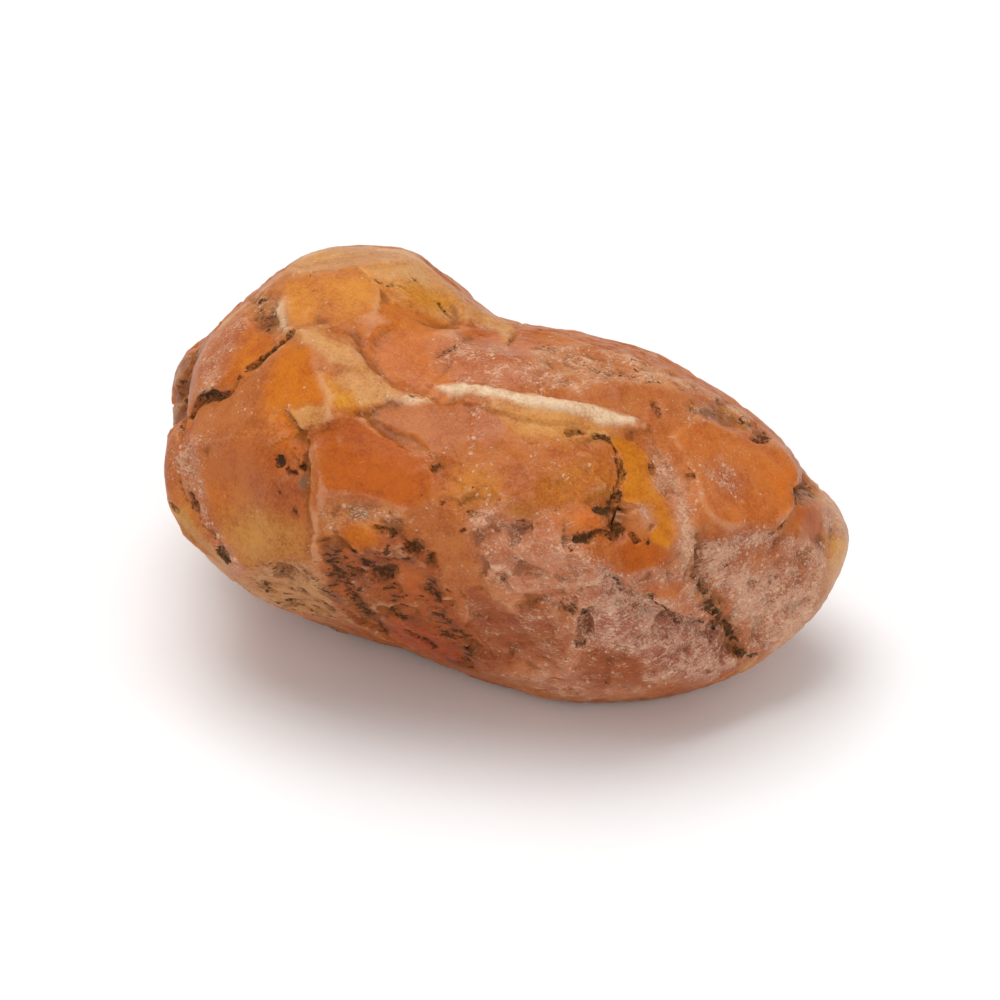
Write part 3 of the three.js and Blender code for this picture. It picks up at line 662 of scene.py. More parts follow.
def new_tree(name, kind, inputs, outputs):
    """A node tree with named sockets, each with its kind; returns it with its two ends."""
    tree = bpy.data.node_groups.new(name, kind)
    for way, sockets in (("INPUT", inputs), ("OUTPUT", outputs)):
        for socket, sort in sockets.items():
            tree.interface.new_socket(socket, in_out=way, socket_type="NodeSocket" + sort)
    return tree, tree.nodes.new("NodeGroupInput").outputs, tree.nodes.new("NodeGroupOutput").inputs


def close(tree, skin, finish, end):
    """Ends a tree as a real mesh with its finish."""
    real = add(tree, "GeometryNodeRealizeInstances", skin)
    feed(tree, end["Stone"], add(tree, "GeometryNodeSetMaterial", real, Material=finish))


def position(tree):
    return add(tree, "GeometryNodeInputPosition").outputs["Position"]


def dish_cut(tree, place, seat, look, reach, sink, hollow):
    """How a scar moves the skin: whatever stands above a shallow dish goes down onto it."""
    way = vector_calc(tree, "SUBTRACT", place, seat)
    up = vector_calc(tree, "DOT_PRODUCT", way, look)
    across = vector_calc(tree, "LENGTH", vector_calc(tree, "SUBTRACT", way, scaled(tree, look, up)))
    share = calc(tree, "DIVIDE", across, reach)
    cup = calc(tree, "SUBTRACT", 1.0, calc(tree, "MULTIPLY", share, share))
    floor = calc(tree, "ADD", sink, calc(tree, "MULTIPLY", hollow, cup))
    over = calc(tree, "MAXIMUM", calc(tree, "ADD", up, floor), 0.0)
    rim, past_rim = 1.0, 1.25
    deep, too_deep = 0.8 * MM, 1.6 * MM
    inside = ramp(tree, share, rim, past_rim, 1.0, 0.0)
    shallow = ramp(tree, over, deep, too_deep, 1.0, 0.0)
    cut = calc(tree, "MULTIPLY", over, calc(tree, "MULTIPLY", inside, shallow))
    return scaled(tree, look, calc(tree, "MULTIPLY", cut, -1.0))


def scar_tree():
    tree, start, end = new_tree(
        "Flake scar",
        "GeometryNodeTree",
        {"Stone": "Geometry", "Seat": "Vector", "Look": "Vector", "Reach": "Float",
         "Sink": "Float", "Hollow": "Float", "Finish": "Material"},
        {"Stone": "Geometry"},
    )
    skin = start["Stone"]
    wave_length, wave_height = 2.2 * MM, 0.12 * MM
    seat = add(
        tree, "GeometryNodeProximity", skin, Sample_Position=start["Seat"], target_element="FACES",
    )
    look = vector_calc(tree, "NORMALIZE", start["Look"])
    wavy = calc(tree, "SUBTRACT", cloud(tree, position(tree), wave_length), 0.5)
    sink = calc(tree, "ADD", start["Sink"], calc(tree, "MULTIPLY", wavy, wave_height))
    moved = dish_cut(
        tree, position(tree), seat.outputs["Position"], look, start["Reach"], sink, start["Hollow"],
    )
    close(tree, add(tree, "GeometryNodeSetPosition", skin, Offset=moved), start["Finish"], end)
    return tree


def work(piece, name, tree, **sizes):
    """Adds a tree to a piece as a modifier and sets its named inputs."""
    tool = piece.modifiers.new(name, "NODES")
    tool.node_group = tree
    for socket in tree.interface.items_tree:
        size_name = socket.name.lower().replace(" ", "_")
        if socket.in_out == "INPUT" and size_name in sizes:
            tool[socket.identifier] = sizes[size_name]


# Each scar: its seat, the way it looks, its reach, how deep it is sunk and how hollow it is.
scars = [
    ("crest_slope", (-6, 2.5, 31.5), (0.5, 0.2, 0.85), 2.8, 0.3, 0.1),
    ("crest_top", (-15.5, 2, 32.5), (-0.3, 0.15, 0.95), 3.2, 0.3, 0.1),
    ("scar_low", (-3, -5, 31), (0.2, -0.1, 1), 3.2, 0.1, 0.2),
    ("scar_end", (1, -4, 31), (-0.05, -0.1, 1), 3, 0.2, 0.1),
    ("front_low", (-0.5, -19, 22), (0.3, -0.9, 0.3), 2, 0.15, 0.1),
    ("low_left", (16, -13.5, 21), (0.4, -0.9, -0.1), 3.2, 0.4, 0.15),
    ("low_middle", (20, -10.5, 18), (0.55, -0.8, -0.15), 3, 0.15, 0.15),
    ("low_front", (12.5, -12, 12), (0.2, -0.9, -0.35), 4, 0.15, 0.2),
    ("low_right", (18.5, -9.5, 11.5), (0.45, -0.85, -0.3), 3.6, 0.2, 0.2),
    ("low_far", (23.5, -6, 11), (0.8, -0.6, 0), 3, 0.2, 0.15),
    ("low_fold", (10.5, -15, 18), (0.2, -0.95, -0.15), 2.8, 0.2, 0.1),
    ("end_high", (27, 0.5, 17), (0.9, -0.4, 0), 3.4, 0.3, 0.15),
    ("end_far", (28.5, 5, 13), (0.9, -0.35, 0.1), 3, 0.1, 0.15),
    ("end_low", (27.5, 1.5, 11.5), (0.9, -0.45, 0), 3, 0.25, 0.1),
    ("toe", (29, 9.5, 16.5), (0.9, 0.2, 0.35), 3, 0.25, 0.1),
    ("foot_left", (0, -19, 17), (0.35, -0.9, -0.25), 2.8, 0.2, 0.15),
    ("foot_middle", (3.5, -16.5, 16), (0.4, -0.9, -0.25), 3, 0.1, 0.2),
    ("foot_right", (6, -15, 13), (0.25, -0.9, -0.35), 3, 0.15, 0.15),
    ("foot_band", (-4.5, -20, 16.5), (0.2, -0.9, -0.35), 2.4, 0.15, 0.05),
    ("saddle", (3.5, 1.5, 30), (-0.15, 0.3, 0.95), 4.5, 0.25, 0.15),
    ("saddle_far", (10.5, 2, 30.5), (0, 0.3, 0.95), 4, 0.35, 0.15),
    ("slope_near", (16, 3, 29), (0.4, -0.05, 0.9), 2.4, 0.1, 0.1),
    ("slope_far", (21.5, 8, 26), (0.45, 0.35, 0.8), 3, 0.25, 0.1),
]

scar_cutter = scar_tree()
for name, seat, look, reach, sink, hollow in scars:
    work(
        stone, name, scar_cutter,
        seat=tuple(Vector(seat) * MM), look=look, reach=reach * MM,
        sink=sink * MM, hollow=hollow * MM, finish=carnelian,
    )


# ---------------------------------------------------------------------------------------------
# The steps. Where a flake broke off short, the skin drops sharply along one side of a line and
# runs out flat again, and brown dirt sits under the drop. Each step follows a line on the skin.

def held(tree, name, kind="FLOAT"):
    """What each point holds under a name."""
    return add(tree, "GeometryNodeInputNamedAttribute", Name=name, data_type=kind)


def held_by(tree, piece, value, number, kind="FLOAT"):
    """A value as it is at one numbered point of another piece."""
    return add(
        tree, "GeometryNodeSampleIndex", piece, value, number, data_type=kind, domain="POINT",
    )


def store_on(tree, piece, name, value, kind="FLOAT"):
    """Writes a value on each point, under a name."""
    return add(
        tree, "GeometryNodeStoreNamedAttribute", piece, Name=name, Value=value, data_type=kind,
    )


def keep_most(tree, skin, name, value):
    """Stores the larger of a value and what the skin already holds under that name."""
    return store_on(tree, skin, name, calc(tree, "MAXIMUM", held(tree, name), value))


def line_on_skin(tree, start):
    """The line laid on the skin, holding how far along it each of its points is."""
    link_length = 0.3 * MM
    route = add(tree, "GeometryNodeObjectInfo", start["Line"], transform_space="RELATIVE")
    fine = add(
        tree, "GeometryNodeResampleCurve", route.outputs["Geometry"], Length=link_length,
        mode="LENGTH",
    )
    along = add(tree, "GeometryNodeSplineParameter").outputs["Factor"]
    marked = store_on(tree, fine, "along", along)
    thread = add(tree, "GeometryNodeCurveToMesh", marked)
    skin = add(tree, "GeometryNodeProximity", start["Stone"], target_element="FACES")
    laid = add(tree, "GeometryNodeSetPosition", thread, Position=skin.outputs["Position"])
    return laid.outputs["Geometry"]


def share_along(tree, thread):
    """1 over most of the line, falling to 0 at its two ends."""
    blunt_ends = 0.3
    here = add(tree, "GeometryNodeSampleNearest", thread, position(tree), domain="POINT")
    share = held_by(tree, thread, held(tree, "along"), here)
    hump = calc(tree, "MULTIPLY", share, calc(tree, "SUBTRACT", 1.0, share))
    return calc(tree, "POWER", calc(tree, "MULTIPLY", hump, 4.0), blunt_ends)


def sunk_by(tree, skin, depth):
    """The skin moved in by a depth, straight down at each point."""
    normal = add(tree, "GeometryNodeInputNormal").outputs["Normal"]
    down = scaled(tree, normal, calc(tree, "MULTIPLY", depth, -1.0))
    return add(tree, "GeometryNodeSetPosition", skin, Offset=down)


def step_tree():
    tree, start, end = new_tree(
        "Step along a line",
        "GeometryNodeTree",
        {"Stone": "Geometry", "Line": "Object", "Toward": "Vector", "Drop": "Float",
         "Run": "Float", "Dirt": "Float", "Finish": "Material"},
        {"Stone": "Geometry"},
    )
    thread = line_on_skin(tree, start)
    tear_size, tear_reach = 1.6 * MM, 0.7 * MM
    brink_start, brink_end = -0.05 * MM, 0.3 * MM
    dirt_middle, dirt_half_width, dirt_reach = 0.25 * MM, 0.7 * MM, 1.2 * MM
    torn = ragged(tree, position(tree), tear_size, tear_reach)
    beside = add(
        tree, "GeometryNodeProximity", thread, Sample_Position=torn, target_element="EDGES",
    )
    away = vector_calc(tree, "SUBTRACT", torn, beside.outputs["Position"])
    side = vector_calc(tree, "DOT_PRODUCT", away, vector_calc(tree, "NORMALIZE", start["Toward"]))
    distance = beside.outputs["Distance"]
    share = share_along(tree, thread)
    brink = ramp(tree, side, brink_start, brink_end)
    run_out = ramp(tree, calc(tree, "DIVIDE", distance, start["Run"]), 0.0, 1.0, 1.0, 0.0)
    shape = calc(tree, "MULTIPLY", calc(tree, "MULTIPLY", brink, run_out), share)
    skin = sunk_by(tree, start["Stone"], calc(tree, "MULTIPLY", shape, start["Drop"]))
    off_middle = calc(tree, "ABSOLUTE", calc(tree, "SUBTRACT", side, dirt_middle))
    foot = calc(tree, "DIVIDE", off_middle, dirt_half_width)
    foot = calc(tree, "MAXIMUM", foot, calc(tree, "DIVIDE", distance, dirt_reach))
    foot = calc(tree, "MULTIPLY", calc(tree, "SUBTRACT", 1.0, foot, clamp=True), share)
    skin = keep_most(tree, skin, "dirt", calc(tree, "MULTIPLY", foot, start["Dirt"]))
    close(tree, skin, start["Finish"], end)
    return tree


def line_object(name, routes):
    """Smooth curves through points given in millimetres, as one object."""
    data = bpy.data.curves.new(name, "CURVE")
    data.dimensions = "3D"
    for route in routes:
        spline = data.splines.new("BEZIER")
        spline.bezier_points.add(len(route) - 1)
        for knot, place in zip(spline.bezier_points, route):
            knot.co = Vector(place) * MM
            knot.handle_left_type = "AUTO"
            knot.handle_right_type = "AUTO"
    line = bpy.data.objects.new(name, data)
    bpy.context.scene.collection.objects.link(line)
    return line


# Each step: drop, run, how dirty, the side that drops, and its route.
steps = [
    ("arch_edge", 0.6, 4, 0.6, (0.4, 0.9, 0.1), [
        (-12.5, -7.5, 32), (-10, -6.5, 32.5), (-7.5, -7, 32), (-5, -8.5, 31.5), (-1, -9.5, 30.5),
        (1, -9, 30),
    ]),
    ("crest_edge", 0.3, 4, 0.0, (-0.3, -0.9, -0.3), [
        (-13.5, 1.5, 33), (-10.5, 0.5, 33), (-8, 1, 32.5), (-5.5, 1.5, 31), (-3, 3, 30),
        (-2, 6.5, 28),
    ]),
    ("ridge_step", 0.4, 4, 0.55, (-0.3, 0.9, 0.3), [
        (0.5, -7.5, 30), (1.5, -6, 30.5), (6, -5.5, 31), (11, -3.5, 31), (15, -0.5, 29.5),
        (17, 0.5, 28.5),
    ]),
    ("ridge_foot", 0.3, 3, 0.2, (0.1, -0.8, -0.5), [
        (1, -7.5, 30), (5, -7.5, 30.2), (9, -6.8, 30.2), (12, -5.3, 30.2), (15, -3, 29.2),
    ]),
    ("hollow_arris", 0.5, 5, 0.4, (-0.9, -0.3, -0.2), [
        (-6.5, -16, 28.5), (-5, -17.5, 27), (-4, -19, 24), (-3, -20, 21), (-3, -20, 18.5),
    ]),
    ("front_face_top", 0.35, 4, 0.2, (0.2, -0.6, -0.8), [
        (-3.5, -14, 30), (-2, -13, 29.5), (0.5, -12.5, 29), (3.5, -12.5, 28.5), (5, -13.5, 27.5),
    ]),
    ("plate_step", 0.7, 3.5, 0.9, (-0.3, -0.4, -0.9), [
        (20.5, -10, 20.5), (21, -10, 19.5), (22.5, -8, 17), (23.5, -6.5, 15.5), (25, -3, 13),
        (26, -1.5, 12.5),
    ]),
    ("rough_ledge", 0.5, 3, 0.75, (0.8, 0.6, 0.2), [
        (24.5, -4, 21), (25, -3, 17), (26, -2, 14.5), (26, -1, 12.5), (26.5, -1, 10.5),
        (27, 0, 8.5), (28, 2.5, 8),
    ]),
    ("rough_ledge_back", 0.4, 2, 0.75, (-0.7, -0.6, 0.1), [
        (25.5, -2.5, 15.5), (25.8, -1.8, 13), (26, -1.5, 11), (26.7, -0.5, 9),
    ]),
    ("chip_edge", 0.35, 2, 0.5, (0.2, -0.5, -0.8), [
        (-9, -15, 29.2), (-8, -15.5, 28.8), (-6.5, -16, 28.3), (-5, -16, 28.8), (-4, -15.5, 29.5),
    ]),
    ("flaky_step", 0.3, 1.5, 0.35, (0.1, -0.7, -0.7), [
        (-3, -11, 30.5), (-1, -10.3, 30), (0, -9, 30.5), (1.5, -8, 30.3),
    ]),
    ("toe_curl", 0.45, 3, 0.5, (0.9, 0.3, -0.4), [
        (28, 3, 19.5), (28.5, 4.5, 19.5), (28, 6, 20), (27.5, 8, 20.5), (25, 13.5, 18.5),
    ]),
]

step_cutter = step_tree()
lines = []
for name, drop, run, dirt, toward, route in steps:
    line = line_object(name, [route])
    lines.append(line)
    work(
        stone, name, step_cutter, line=line, drop=drop * MM, run=run * MM, dirt=dirt,
        toward=toward, finish=carnelian,
    )


# ---------------------------------------------------------------------------------------------
# The cracks. Natural breaks that follow old seams in the stone, a few tenths of a millimetre
# wide, ragged and packed with brown iron dirt. Each one is cut along a line laid on the skin.

def crack_tree():
    tree, start, end = new_tree(
        "Crack along a line",
        "GeometryNodeTree",
        {"Stone": "Geometry", "Line": "Object", "Width": "Float", "Depth": "Float",
         "Ragged": "Float", "Dirt": "Float", "Finish": "Material"},
        {"Stone": "Geometry"},
    )
    thread = line_on_skin(tree, start)
    tear_size, gape_size, least_width = 1.2 * MM, 2 * MM, 0.02 * MM
    torn = ragged(tree, position(tree), tear_size, start["Ragged"])
    apart = add(
        tree, "GeometryNodeProximity", thread, Sample_Position=torn, target_element="EDGES",
    )
    share = share_along(tree, thread)
    gape = ramp(tree, cloud(tree, position(tree), gape_size), 0.3, 0.7, 0.5, 1.5)
    width = calc(tree, "MULTIPLY", start["Width"], calc(tree, "MULTIPLY", share, gape))
    width = calc(tree, "MAXIMUM", width, least_width)
    widths_off = calc(tree, "DIVIDE", apart.outputs["Distance"], width)
    cut = calc(tree, "MULTIPLY", ramp(tree, widths_off, 0.2, 1.4, 1.0, 0.0), share)
    skin = sunk_by(tree, start["Stone"], calc(tree, "MULTIPLY", cut, start["Depth"]))
    near = calc(tree, "SUBTRACT", 1.0, calc(tree, "DIVIDE", widths_off, 3.0), clamp=True)
    skin = keep_most(tree, skin, "dirt", calc(tree, "MULTIPLY", near, start["Dirt"]))
    close(tree, skin, start["Finish"], end)
    return tree


# Each group of cracks: half their width, depth and dirtiness, and the routes that they take.
cracks = [
    ("seam", 0.3, 0.45, 1.0, [
        [(-15.5, -12, 28.5), (-14.5, -11, 29.5), (-13, -10, 31.5), (-12, -8.5, 32.5)],
    ]),
    ("seam_mouth", 0.3, 0.5, 1.0, [
        [(-19.5, -14.5, 23.5), (-19, -13.5, 25), (-18, -13.5, 26), (-16, -13.5, 27),
         (-15.5, -12, 28.5)],
    ]),
    ("flake_gap", 0.24, 0.5, 0.9, [
        [(-25, -5, 24), (-23, -9.5, 24.5), (-22, -11.5, 23.5), (-19.5, -15.5, 23),
         (-19, -16.5, 22.5)],
        [(-24, -9, 24.5), (-23.5, -10, 23.5), (-22.5, -11.5, 22.5)],
    ]),
    ("hairlines", 0.1, 0.15, 0.85, [
        [(-16.5, 0, 32.5), (-15, -2.5, 32.5), (-14, -3, 32)],
        [(-11, 0.5, 33), (-9.5, 0.5, 33), (-8.5, 1.5, 32.5), (-7, 2, 32)],
        [(-12, 6.5, 31.5), (-11, 3.5, 33)],
        [(-9.5, -20.5, 16), (-8, -20.5, 16.5), (-6.5, -20.5, 17.5), (-6, -20.5, 19),
         (-5.5, -20.5, 20)],
        [(-6.5, -20.5, 16.5), (-5.5, -20.5, 17.5), (-4, -20.5, 18.5)],
        [(-8, -19, 24.5), (-7, -19.5, 24), (-6.5, -19.5, 23.5)],
    ]),
    ("rim_lines", 0.1, 0.25, 0.55, [
        [(-18.5, -17, 22.5), (-17.5, -18, 20.5), (-15, -19.5, 17.5), (-12.5, -20.5, 16.5)],
        [(-19, -17, 22), (-18, -18, 19.5), (-16.5, -19, 18)],
        [(21.5, -8.5, 14), (22, -8, 12.5), (22.5, -7, 11.5)],
    ]),
    ("pitted_spot_pits", 0.18, 0.3, 0.9, [
        [(-19, -5, 30), (-18.5, -4.5, 30.5), (-18, -4.5, 31)],
        [(-18, -6, 30), (-17.5, -5.5, 30.5)],
        [(-17, -6.5, 30.5), (-16.5, -6, 31)],
        [(-19.5, -4.5, 30), (-20, -5.5, 29)],
    ]),
    ("crest_specks", 0.2, 0.2, 0.8, [
        [(-9, 4.5, 32.5), (-8, 4, 32), (-7.5, 4.5, 31.5)],
        [(-6, 4, 31), (-5, 3.5, 30.5), (-4, 3.5, 30)],
        [(-1.5, -4, 31), (-1, -3, 31.5), (-0.5, -1.5, 31.5)],
        [(4.5, 2, 31), (4.5, 3.5, 30.5), (5, 4.5, 30)],
    ]),
    ("saddle_crack", 0.2, 0.35, 0.8, [
        [(0.5, 6, 28.5), (2, 2.5, 30.5), (2.5, 1.5, 30.5)],
    ]),
    ("arch_line", 0.1, 0.2, 0.75, [
        [(-3.5, -8.5, 31), (-1.5, -9, 31), (0, -9, 30.5), (1.5, -7.5, 29.5)],
        [(-2.5, -14, 29.5), (-2, -12.5, 29.5), (-1.5, -11.5, 30), (-1, -10.5, 30)],
    ]),
    ("chip_gap", 0.12, 0.2, 0.85, [
        [(-9, -15, 29), (-7.5, -16, 28.5), (-6.5, -16, 28), (-5.5, -16, 29), (-4, -15.5, 29.5)],
    ]),
    ("corner_crack", 0.3, 0.35, 1.0, [
        [(-6, -16.5, 28), (-5.5, -17.5, 27), (-5, -18, 25.5)],
    ]),
    ("glint_pit", 0.3, 0.4, 1.0, [
        [(-5.5, -17.5, 26), (-5.5, -18, 25.5)],
        [(-5, -18.8, 24.2), (-4.8, -19, 23.8)],
    ]),
    ("hollow_pits", 0.5, 0.3, 1.0, [
        [(-8, -18, 26.5), (-7.5, -18.5, 26), (-7, -18.5, 25.5)],
    ]),
    ("hollow_scribbles", 0.2, 0.2, 0.9, [
        [(-7, -17.5, 27), (-6, -18, 26.5), (-5.5, -18, 26.5)],
        [(-7, -18.5, 26), (-6, -18.5, 25.5), (-5.5, -18, 25.5)],
    ]),
    ("hollow_specks", 0.3, 0.15, 0.75, [
        [(-5.5, -19.5, 23), (-5, -20, 22.5), (-4.5, -20, 22)],
    ]),
    ("rim_pits", 0.38, 0.35, 0.95, [
        [(-17, -18.5, 19.5), (-16.5, -18.5, 19), (-15.5, -19, 18)],
        [(-13, -20.5, 16.5), (-12, -20.5, 16), (-11, -20.5, 15.5)],
    ]),
    ("rim_dark", 0.2, 0.3, 0.95, [
        [(-19, -18.5, 17.5), (-18, -19, 17.5), (-17.5, -19, 17.5)],
    ]),
    ("band_dashes", 0.24, 0.25, 0.95, [
        [(-9, -20.5, 15), (-8.5, -20.5, 14.5)],
        [(-8.5, -20, 14), (-8.5, -18.5, 12.5)],
        [(-6.5, -20, 15.5), (-5.5, -20, 16), (-5, -20, 16)],
        [(-8, -17.5, 11), (-7, -17, 10), (-6, -16, 9.5)],
        [(-4, -18, 12.5), (-4, -17, 11), (-3, -17, 11)],
        [(-5, -19, 14), (-5.5, -18, 12.5)],
        [(-6, -16.5, 10), (-5, -16.5, 10)],
    ]),
    ("foot_crack", 0.22, 0.4, 0.9, [
        [(-2.5, -19.5, 20.5), (-1, -19, 21), (0, -19, 20.5), (1, -19, 20)],
    ]),
    ("foot_blots", 0.65, 0.35, 0.78, [
        [(1, -19, 19.5), (1.5, -18, 18.5), (2.5, -17.5, 17.5), (3.5, -17.5, 19)],
    ]),
    ("foot_blobs", 0.5, 0.3, 0.75, [
        [(-2, -20, 19), (-1.5, -19.5, 18), (-1.5, -19.5, 18)],
        [(1.5, -18, 22), (2.5, -17.5, 22.5), (3.5, -17.5, 22)],
        [(4, -17.5, 21.5), (5, -17.5, 21.5), (5.5, -16.5, 20.5)],
        [(6, -16.5, 20.5), (6.5, -16, 19.5), (7, -16, 19)],
        [(2.5, -17.5, 17.5), (2.5, -17, 16.5)],
    ]),
    ("foot_specks", 0.38, 0.3, 0.8, [
        [(3, -17, 16.5), (3.5, -16.5, 15)],
        [(-2, -17, 12), (-1.5, -15.5, 10), (-1, -14.5, 9)],
        [(1.5, -16.5, 13), (2.5, -16, 12), (4, -15, 12)],
        [(2.5, -15, 10), (3.5, -14, 9), (4.5, -12.5, 7.5)],
        [(-7.5, -11.5, 5), (-7.5, -10.5, 4)],
        [(5.5, -16, 16.5), (6, -15.5, 15.5), (7, -15, 14.5)],
    ]),
    ("foot_dots", 0.22, 0.2, 0.9, [
        [(7, -15.5, 17), (8, -15.5, 16.5)],
        [(7, -12.5, 8.5), (7.5, -12.5, 9)],
        [(17, -8, 6), (17.5, -7, 5.5), (18.5, -8, 7)],
    ]),
    ("fold", 0.2, 0.3, 0.6, [
        [(8.5, -15.5, 17.5), (9, -15, 15.5), (9, -13, 12.5)],
        [(8.5, -13, 11.5), (9, -11.5, 9), (10.5, -11, 8), (11, -9.5, 5)],
    ]),
    ("dashes", 0.26, 0.3, 0.85, [
        [(8.5, -15, 23.5), (9, -15, 23)],
        [(8.5, -14.5, 24.5), (9.5, -14, 25)],
        [(12.5, -13.5, 24.5), (13.5, -13, 24.5), (15, -12.5, 24.5)],
        [(11.5, -15, 19.5), (12, -15, 19.5), (13, -14.5, 19)],
    ]),
    ("small_dashes", 0.18, 0.25, 0.9, [
        [(14.5, -13, 23.5), (15, -13, 24)],
        [(14, -13, 17), (14.5, -12.5, 16.5)],
        [(16, -13, 19), (16, -12.5, 18.5)],
        [(6.5, -15, 25.5), (7, -15, 25)],
        [(21.5, -7, 22.5), (22, -6.5, 22)],
        [(18.5, -1.5, 26), (19.5, -2.5, 25.5)],
        [(28, 4, 14), (28, 4.5, 14.5)],
        [(14.5, 4, 29.5), (15, 5, 29.5), (15.5, 6, 29)],
        [(17.5, 6, 28), (18.5, 6, 27.5)],
    ]),
    ("chip_pit", 0.3, 0.35, 0.85, [
        [(5, -14, 27), (5, -13.5, 27), (5.5, -13, 27.5)],
    ]),
    ("long_crack", 0.22, 0.5, 1.0, [
        [(12.5, -5.5, 29), (13, -4.5, 28.5), (14, -4, 28.5)],
        [(14, -4, 28.5), (15.5, -3.5, 28), (16.5, -3.5, 27)],
        [(16.5, -3.5, 27), (17.5, -4.5, 26), (18, -6, 25.5)],
    ]),
    ("long_crack_low", 0.38, 0.5, 1.0, [
        [(18, -5.5, 25.5), (18.5, -7, 24.5), (19.5, -7.5, 23.5)],
    ]),
    ("long_crack_mouth", 0.6, 0.5, 0.95, [
        [(18.5, -6.5, 24.5), (19, -7.5, 23.5), (19.5, -9, 22.5)],
    ]),
    ("crack_arms", 0.28, 0.35, 1.0, [
        [(17, -11.5, 23.5), (18, -10.5, 23.5), (18.5, -9.5, 23.5), (19, -8.5, 23)],
        [(17.5, -9, 25), (18, -8, 25), (18.5, -7, 24.5)],
        [(20, -7.5, 23), (21, -7.5, 22.5), (21, -7.5, 22)],
    ]),
    ("fork_pit", 0.5, 0.9, 0.9, [
        [(18, -10.5, 15.5), (18, -10.5, 14), (17.5, -10.5, 12.5)],
    ]),
    ("fork_arms", 0.3, 0.5, 1.0, [
        [(16.5, -12, 17), (17, -11.5, 16), (17.5, -11, 15.5)],
        [(19, -10.5, 16.5), (18.5, -10.5, 16), (17.5, -11, 15.5)],
        [(17.5, -10.5, 12.5), (17.5, -10.5, 11)],
    ]),
    ("plate_edge", 0.16, 0.3, 1.0, [
        [(20.5, -10, 20), (20.5, -10, 18.5), (21.5, -9.5, 17.5), (22.5, -8, 16.5), (23, -6.5, 15),
         (24, -4, 13), (25.5, -2, 12)],
    ]),
    ("ledge_pits", 0.36, 0.35, 0.95, [
        [(24, -3.5, 20.5), (24.5, -3.5, 19.5), (24.5, -3.5, 18.5)],
        [(25, -3.5, 18), (25, -3, 16.5), (25, -3, 15.5)],
        [(25.5, -2.5, 14.5), (25.5, -2, 13.5), (26, -1.5, 12.5)],
        [(26.5, -0.5, 11), (26.5, 0, 9.5), (27, 1, 7.5)],
        [(26, -1, 9.5), (26.5, 0, 8.5)],
    ]),
    ("ledge_blot", 0.65, 0.5, 0.85, [
        [(25.5, -2, 12), (26, -1, 12), (26, -1.5, 10.5)],
    ]),
    ("low_ticks", 0.15, 0.25, 0.95, [
        [(25, -3, 7.5), (25, -2.5, 7.5), (25.5, -1.5, 7)],
        [(27, 1, 7.5), (27, 2.5, 7), (27.5, 4, 7)],
        [(27.5, 3, 19), (28, 4.5, 19), (28, 6, 19.5)],
    ]),
    ("shoulder_blob", 0.3, 0.3, 0.75, [
        [(21, 0, 25), (21.5, 0, 25), (22, 0, 24.5)],
    ]),
    ("top_notches", 0.3, 0.4, 0.8, [
        [(16, 3, 29), (16.5, 2.5, 28.5), (17.5, 2, 28)],
        [(18.5, 9.5, 26), (18.5, 10, 25.5), (18, 13, 23.5)],
        [(20, 7, 26), (20.5, 8, 25.5), (20.5, 10, 24.5)],
    ]),
    ("slope_notch", 0.42, 0.5, 1.0, [
        [(22.5, 8.5, 24.5), (23, 9.5, 24), (21, 14, 21.5)],
    ]),
    ("toe_gap", 0.38, 0.6, 0.85, [
        [(24.5, 16, 17), (25, 13.5, 17.5), (27.5, 9, 20), (28, 7.5, 20)],
    ]),
    ("toe_marks", 0.2, 0.3, 0.9, [
        [(25, 14.5, 17), (24.5, 16, 16.5)],
        [(24.5, 18, 15), (26.5, 16, 16.5)],
        [(26.5, 14, 16.5), (27.5, 13.5, 16)],
    ]),
]

crack_raggedness = 0.35 * MM
crack_cutter = crack_tree()
for name, width, depth, dirt, routes in cracks:
    line = line_object(name, routes)
    lines.append(line)
    work(
        stone, name, crack_cutter, line=line, width=width * MM, depth=depth * MM,
        ragged=crack_raggedness, dirt=dirt, finish=carnelian,
    )

settle(stone)
for line in lines:
    bpy.data.objects.remove(line)


# ---------------------------------------------------------------------------------------------
# The small breakage. Rough parts are chipped all over, one small flake scar against the next,
# with grit between; smooth parts only ripple. This relief is cut into the surface itself.

